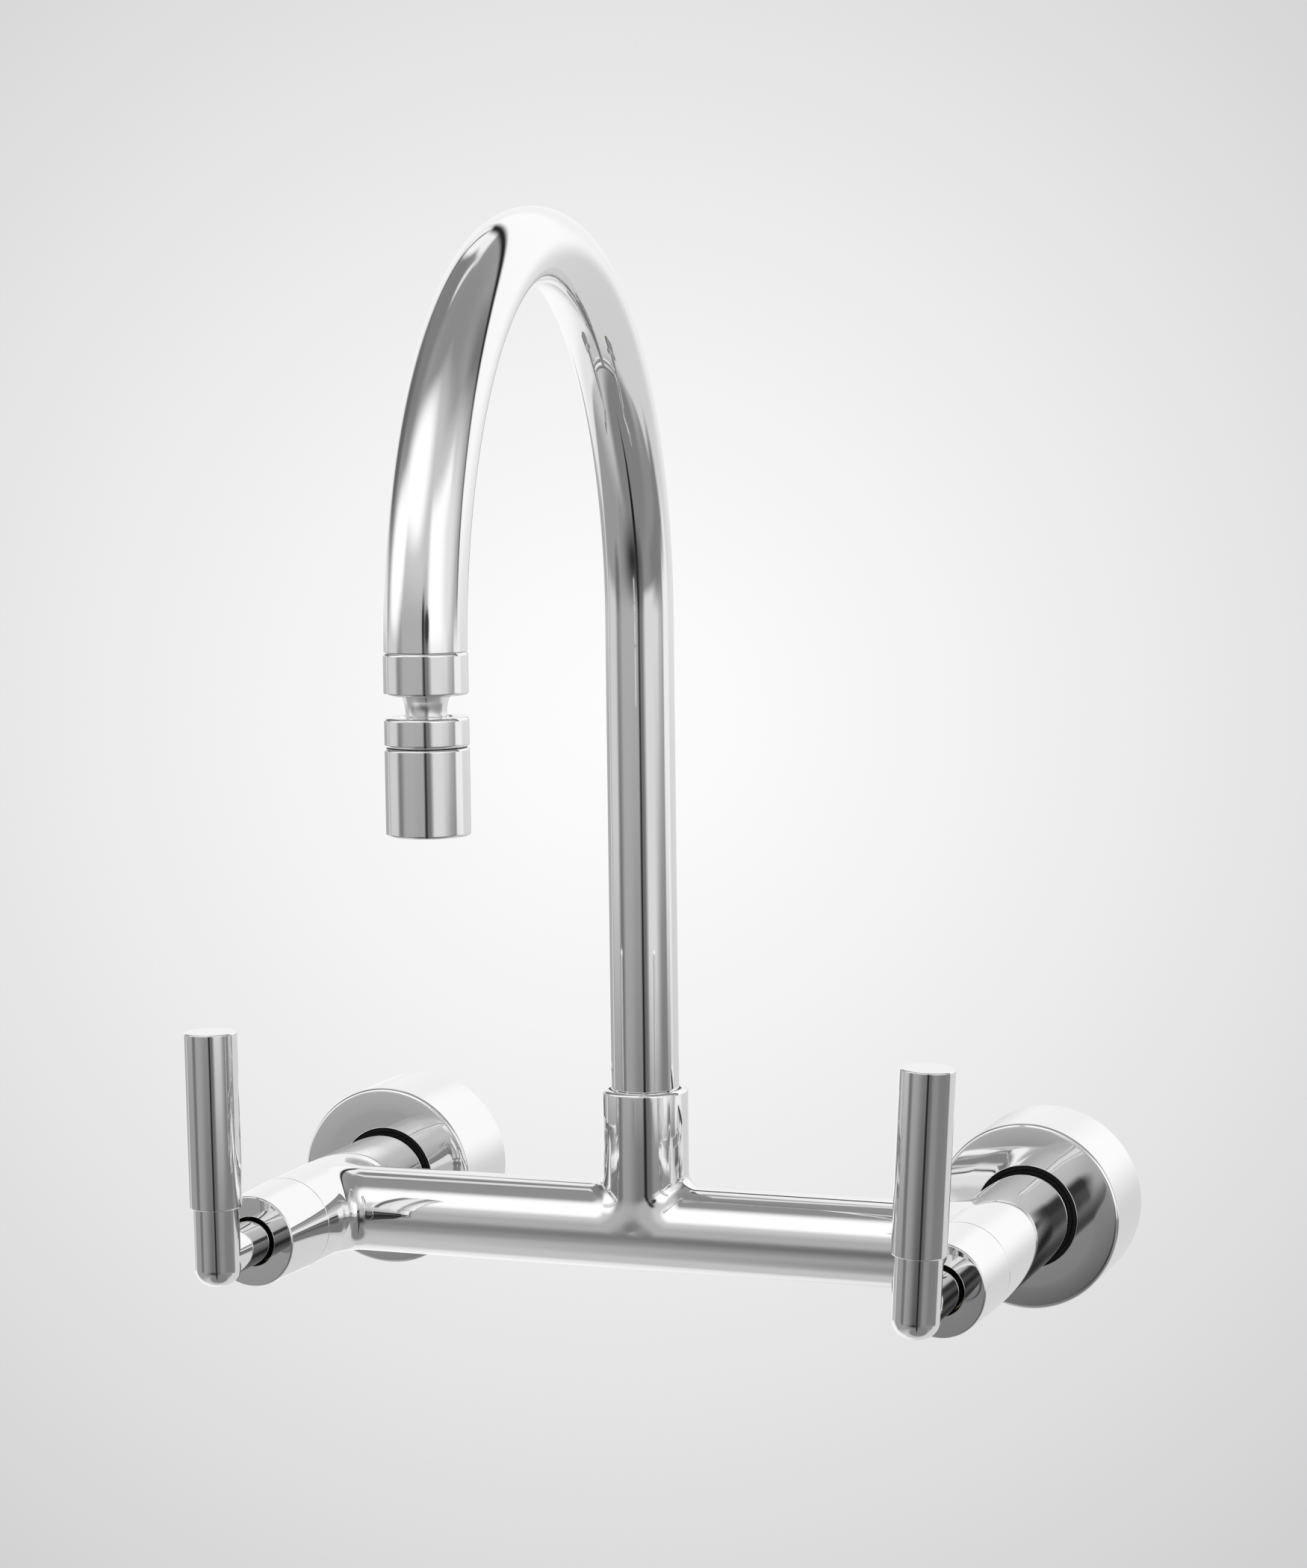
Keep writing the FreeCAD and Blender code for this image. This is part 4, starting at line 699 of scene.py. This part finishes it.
ceramic, shader, tree = surface("lapped_ceramic", (0.9, 0.88, 0.86), rough=0.2)
places = object_places(tree)
feed(noise(places, 300, detail=3) * 0.15 + 0.12, shader, "Roughness")
grains = noise(places, 1200, detail=2).ease(0.45, 0.7)
feed(tint(grains, (0.91, 0.9, 0.88), (0.82, 0.8, 0.77)), shader, "Base Color")
dress(ceramic, *both("fixed_disc", "moving_disc"))

white_plastic, shader, tree = surface("white_plastic", (0.86, 0.86, 0.84), rough=0.45)
places = object_places(tree)
feed(noise(places, 700, detail=2) * 0.12 + 0.4, shader, "Roughness")
feed(tint(noise(places, 150, detail=3), (0.84, 0.84, 0.81), (0.88, 0.88, 0.87)), shader, "Base Color")
feed(relief(noise(places, 1800), 0.15, 0.00002), shader, "Normal")
dress(white_plastic, *both("thrust_washer"), "ball_seat", "swivel_rest")

steel, shader, tree = surface("stainless_steel", (0.58, 0.58, 0.57), rough=0.3, metallic=1.0)
places = object_places(tree)
drawn = noise(object_places(tree, (20, 20, 2)), 90, detail=3)
feed(drawn * 0.2 + 0.2, shader, "Roughness")
feed(tint(noise(places, 400, detail=3), (0.54, 0.54, 0.53), (0.62, 0.62, 0.61)), shader, "Base Color")
feed(relief(drawn, 0.15, 0.00002), shader, "Normal")
dress(steel, *both("lever_screw", "spindle_clip"), "spout_screw", "aerator_screens")


# Bonnet covers
# A slightly tapering cap of plated brass closes each valve housing. It is turned, and its edges are buffed
# round. The stem of the lever comes out through its bore, which is left bare and painted near-black as
# painted shade.

cover_low, cover_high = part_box("left_bonnet_cover")
cover_foot = -cover_high.y
cover_front = -cover_low.y
cover_plate = 0.003
cover_foot_radius = 0.013497
cover_front_radius = 0.012897
cover_bore = 0.0119
stem_bore = 0.0071
cover_foot_round = 0.00025
cover_front_round = 0.0005
stem_bore_round = 0.0002
bore_margin = 0.0001
cover_steps = 128
for side, aside in (("left", -housing_aside), ("right", housing_aside)):
    middle = Vector((aside, 0, 0))
    cover = turned(f"{side}_soft_bonnet_cover", [
        (cover_bore, cover_foot),
        (cover_foot_radius, cover_foot),
        (cover_front_radius, cover_front),
        (stem_bore, cover_front),
        (stem_bore, cover_front - cover_plate),
        (cover_bore, cover_front - cover_plate),
    ], {1: (cover_foot_round, 5), 2: (cover_front_round, 8), 3: (stem_bore_round, 4)}, cover_steps,
        middle, forwards, "mixer", chrome, f"{side}_bonnet_cover")
    # Its bore is painted near-black: painted shade.
    paint_bore_shade(cover, middle, cover_bore + bore_margin, cover_front - bore_lead / 2)


# Levers
# A bent rod of plated brass sits on each spindle, held by a screw underneath. A slightly thicker sleeve is
# pressed over its upright part as the grip.

dress(chrome, *both("lever_arm", "lever_sleeve"))


# Spout
# One drawn brass tube, bent over a former and plated, that turns in the boss on a black bearing ring. Its end
# is cut level over the nozzle, whose collar has a short spigot inside it.

tube_radius = 0.0097
tube_wall = 0.0012
spigot_length = 0.003
tube_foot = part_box("spout_tube")[0].z
tube_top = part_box("spout_tube")[1].z
tube_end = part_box("nozzle_collar")[1].z - spigot_length
riser_middle = Vector((0, -bridge_standoff, 0))
housing_low, housing_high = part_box("aerator_housing")
outlet_middle = (housing_low + housing_high) / 2
outlet_middle.z = 0
bend_radius = (outlet_middle - riser_middle).length / 2
bend_height = tube_top - tube_radius - bend_radius
bend_middle = (riser_middle + outlet_middle) / 2 + Vector((0, 0, bend_height))
backwards = (riser_middle - outlet_middle).normalized()
riser_steps = 24
bend_steps = 150
round_steps = 112
shape = bmesh.new()
bmesh.ops.create_circle(shape, segments=round_steps, radius=tube_radius,
                        matrix=Matrix.Translation(riser_middle + Vector((0, 0, tube_foot))))
rims = shape.edges[:]
for _ in range(riser_steps):
    drawn = bmesh.ops.extrude_edge_only(shape, edges=rims)["geom"]
    verts = [part for part in drawn if isinstance(part, bmesh.types.BMVert)]
    ends = set(verts)
    rims = [part for part in drawn if isinstance(part, bmesh.types.BMEdge) and ends.issuperset(part.verts)]
    bmesh.ops.translate(shape, vec=(0, 0, (bend_height - tube_foot) / riser_steps), verts=verts)
bmesh.ops.spin(shape, geom=verts + rims, cent=bend_middle, axis=(backwards.y, -backwards.x, 0), angle=math.pi,
               steps=bend_steps)

# A half turn ends a little below the collar's shoulder, so the tube is cut off level there.
last = [vert for vert in shape.verts if vert.co.y < bend_middle.y and vert.co.z < tube_end + tube_radius]
around = {part for vert in last for part in (*vert.link_faces, *vert.link_edges)}
bmesh.ops.bisect_plane(shape, geom=last + list(around), dist=weld / 10, plane_co=(0, 0, tube_end),
                       plane_no=(0, 0, 1), clear_inner=True)
bmesh.ops.recalc_face_normals(shape, faces=shape.faces)
bmesh.ops.solidify(shape, geom=shape.faces[:], thickness=tube_wall)
for face in shape.faces:
    face.smooth = True
finished("bent_spout_tube", shape, chrome, "spout", "spout_tube")

bearing_plastic, shader, tree = surface("black_plastic", (0.02, 0.02, 0.021), rough=0.5, specular=0.3)
places = object_places(tree)
feed(noise(places, 800, detail=2) * 0.15 + 0.45, shader, "Roughness")
feed(tint(noise(places, 200, detail=3), (0.016, 0.016, 0.017), (0.026, 0.026, 0.027)), shader, "Base Color")
feed(relief(noise(places, 2200), 0.2, 0.00002), shader, "Normal")
dress(bearing_plastic, "swivel_bearing")


# Nozzle
# Turned brass rings with buffed, well rounded edges. A collar on the tube carries the ball stud, on which
# the socket ring and the housing swivel. The stud's neck is plated over a coarser turning, and its plate is
# painted paler than the rest as painted light. The thread between ring and housing is bare, and painted
# near-black as painted shade. The grey insert with the outlet holes shows from below.

upright = Vector((0, 0, 1))
ring_radius = 0.00985
ring_steps = 128
collar_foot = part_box("nozzle_collar")[0].z
collar_top = tube_end
spigot_top = collar_top + spigot_length
spigot_radius = 0.0082
stud_bore = 0.0075
water_bore = 0.0065
gasket_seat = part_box("nozzle_gasket")[1].z
collar_foot_round = 0.0007
collar_top_round = 0.0009
turned("soft_nozzle_collar", [
    (stud_bore, collar_foot),
    (ring_radius, collar_foot),
    (ring_radius, collar_top),
    (spigot_radius, collar_top),
    (spigot_radius, spigot_top),
    (water_bore, spigot_top),
    (water_bore, gasket_seat),
    (stud_bore, gasket_seat),
], {1: (collar_foot_round, 8), 2: (collar_top_round, 8)}, ring_steps,
    outlet_middle, upright, "spout", chrome, "nozzle_collar")

thread_radius = 0.009
thread_gap = 0.00005
thread_top = housing_high.z
ring_foot = 0.15505
ring_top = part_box("socket_ring")[1].z
ring_foot_round = 0.00079
ring_top_round = 0.0008
mouth_radius = 0.0064
mouth_round = 0.0003
throat_radius = 0.00592
throat_height = 0.15985
seat_radius = 0.00648
turned("soft_socket_ring", [
    (thread_radius + thread_gap, ring_foot),
    (ring_radius, ring_foot),
    (ring_radius, ring_top),
    (mouth_radius, ring_top),
    (throat_radius, throat_height),
    (seat_radius, thread_top),
    (thread_radius + thread_gap, thread_top),
], {1: (ring_foot_round, 10), 2: (ring_top_round, 8), 3: (mouth_round, 5)}, ring_steps,
    outlet_middle, upright, "outlet", chrome, "socket_ring")

housing_foot = housing_low.z
housing_rim = 0.15485
housing_foot_round = 0.0007
housing_rim_round = 0.00054
groove_radius = 0.0093
groove_top = ring_foot - 0.00002
groove_margin = 0.00001
ball_middle = 0.1566
pocket_radius = 0.00775
pocket_hole = 0.0036
pocket_web = 0.14843
chamber_radius = 0.00845
pocket_steps = 12
pocket_turn = math.radians(59.3)
pocket = [(pocket_radius * math.cos(pocket_turn * step / pocket_steps),
           ball_middle - pocket_radius * math.sin(pocket_turn * step / pocket_steps))
          for step in range(pocket_steps + 1)]
housing = turned("soft_aerator_housing", [
    (chamber_radius, housing_foot),
    (ring_radius, housing_foot),
    (ring_radius, housing_rim),
    (groove_radius, housing_rim),
    (groove_radius, groove_top),
    (thread_radius, groove_top),
    (thread_radius, thread_top),
    (pocket_radius, thread_top),
    *pocket,
    (pocket_hole, pocket[-1][1]),
    (pocket_hole, pocket_web),
    (chamber_radius, pocket_web),
], {1: (housing_foot_round, 8), 2: (housing_rim_round, 10)}, ring_steps,
    outlet_middle, upright, "outlet", chrome, "aerator_housing")
# The groove and thread above the housing's rim are painted near-black: painted shade in the gap between ring
# and housing.
housing.data.materials.append(shaded_bore)
for face in housing.data.polygons:
    out = face.center - outlet_middle
    if math.hypot(out.x, out.y) < groove_radius + groove_margin and out.z > housing_rim:
        face.material_index = 1

ball_radius = 0.0067
ball_bore = 0.003
ball_steps = 24
cut_share = 0.85
neck_waist = 0.00475
neck_flare = 0.0056
neck_flare_height = 0.0028
neck_round = 0.0012
stud_radius = 0.00745
stud_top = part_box("swivel_ball")[1].z
stud_steps = 96
lowest = -math.asin(cut_share)
highest = math.acos(neck_waist / ball_radius)
ball = [(ball_radius * math.cos(turn), ball_middle + ball_radius * math.sin(turn))
        for turn in np.linspace(lowest, highest, ball_steps)]
# The neck's plate is rougher, with a coarser ripple from its turning, and paler than the chrome: the paler
# shade is painted light.
lit_neck_plate = plated("lit_neck_plate", shade=0.96, least_rough=0.16, most_rough=0.42, ripple_strength=0.6,
                    ripple_scale=380)
turned("soft_ball_stud", [
    (ball_bore, ball[0][1]),
    *ball,
    (neck_waist, collar_foot - neck_flare_height),
    (neck_flare, collar_foot),
    (stud_radius, collar_foot),
    (stud_radius, stud_top),
    (ball_bore, stud_top),
], {ball_steps + 1: (neck_round, 8)}, stud_steps,
    outlet_middle, upright, "spout", lit_neck_plate, "swivel_ball")

grey_plastic, shader, tree = surface("grey_plastic", (0.62, 0.64, 0.66), rough=0.45)
places = object_places(tree)
feed(noise(places, 900, detail=2) * 0.14 + 0.4, shader, "Roughness")
feed(tint(noise(places, 260, detail=4), (0.58, 0.6, 0.62), (0.66, 0.68, 0.69)), shader, "Base Color")
feed(relief(noise(places, 2000), 0.15, 0.00002), shader, "Normal")
dress(grey_plastic, "aerator_insert")
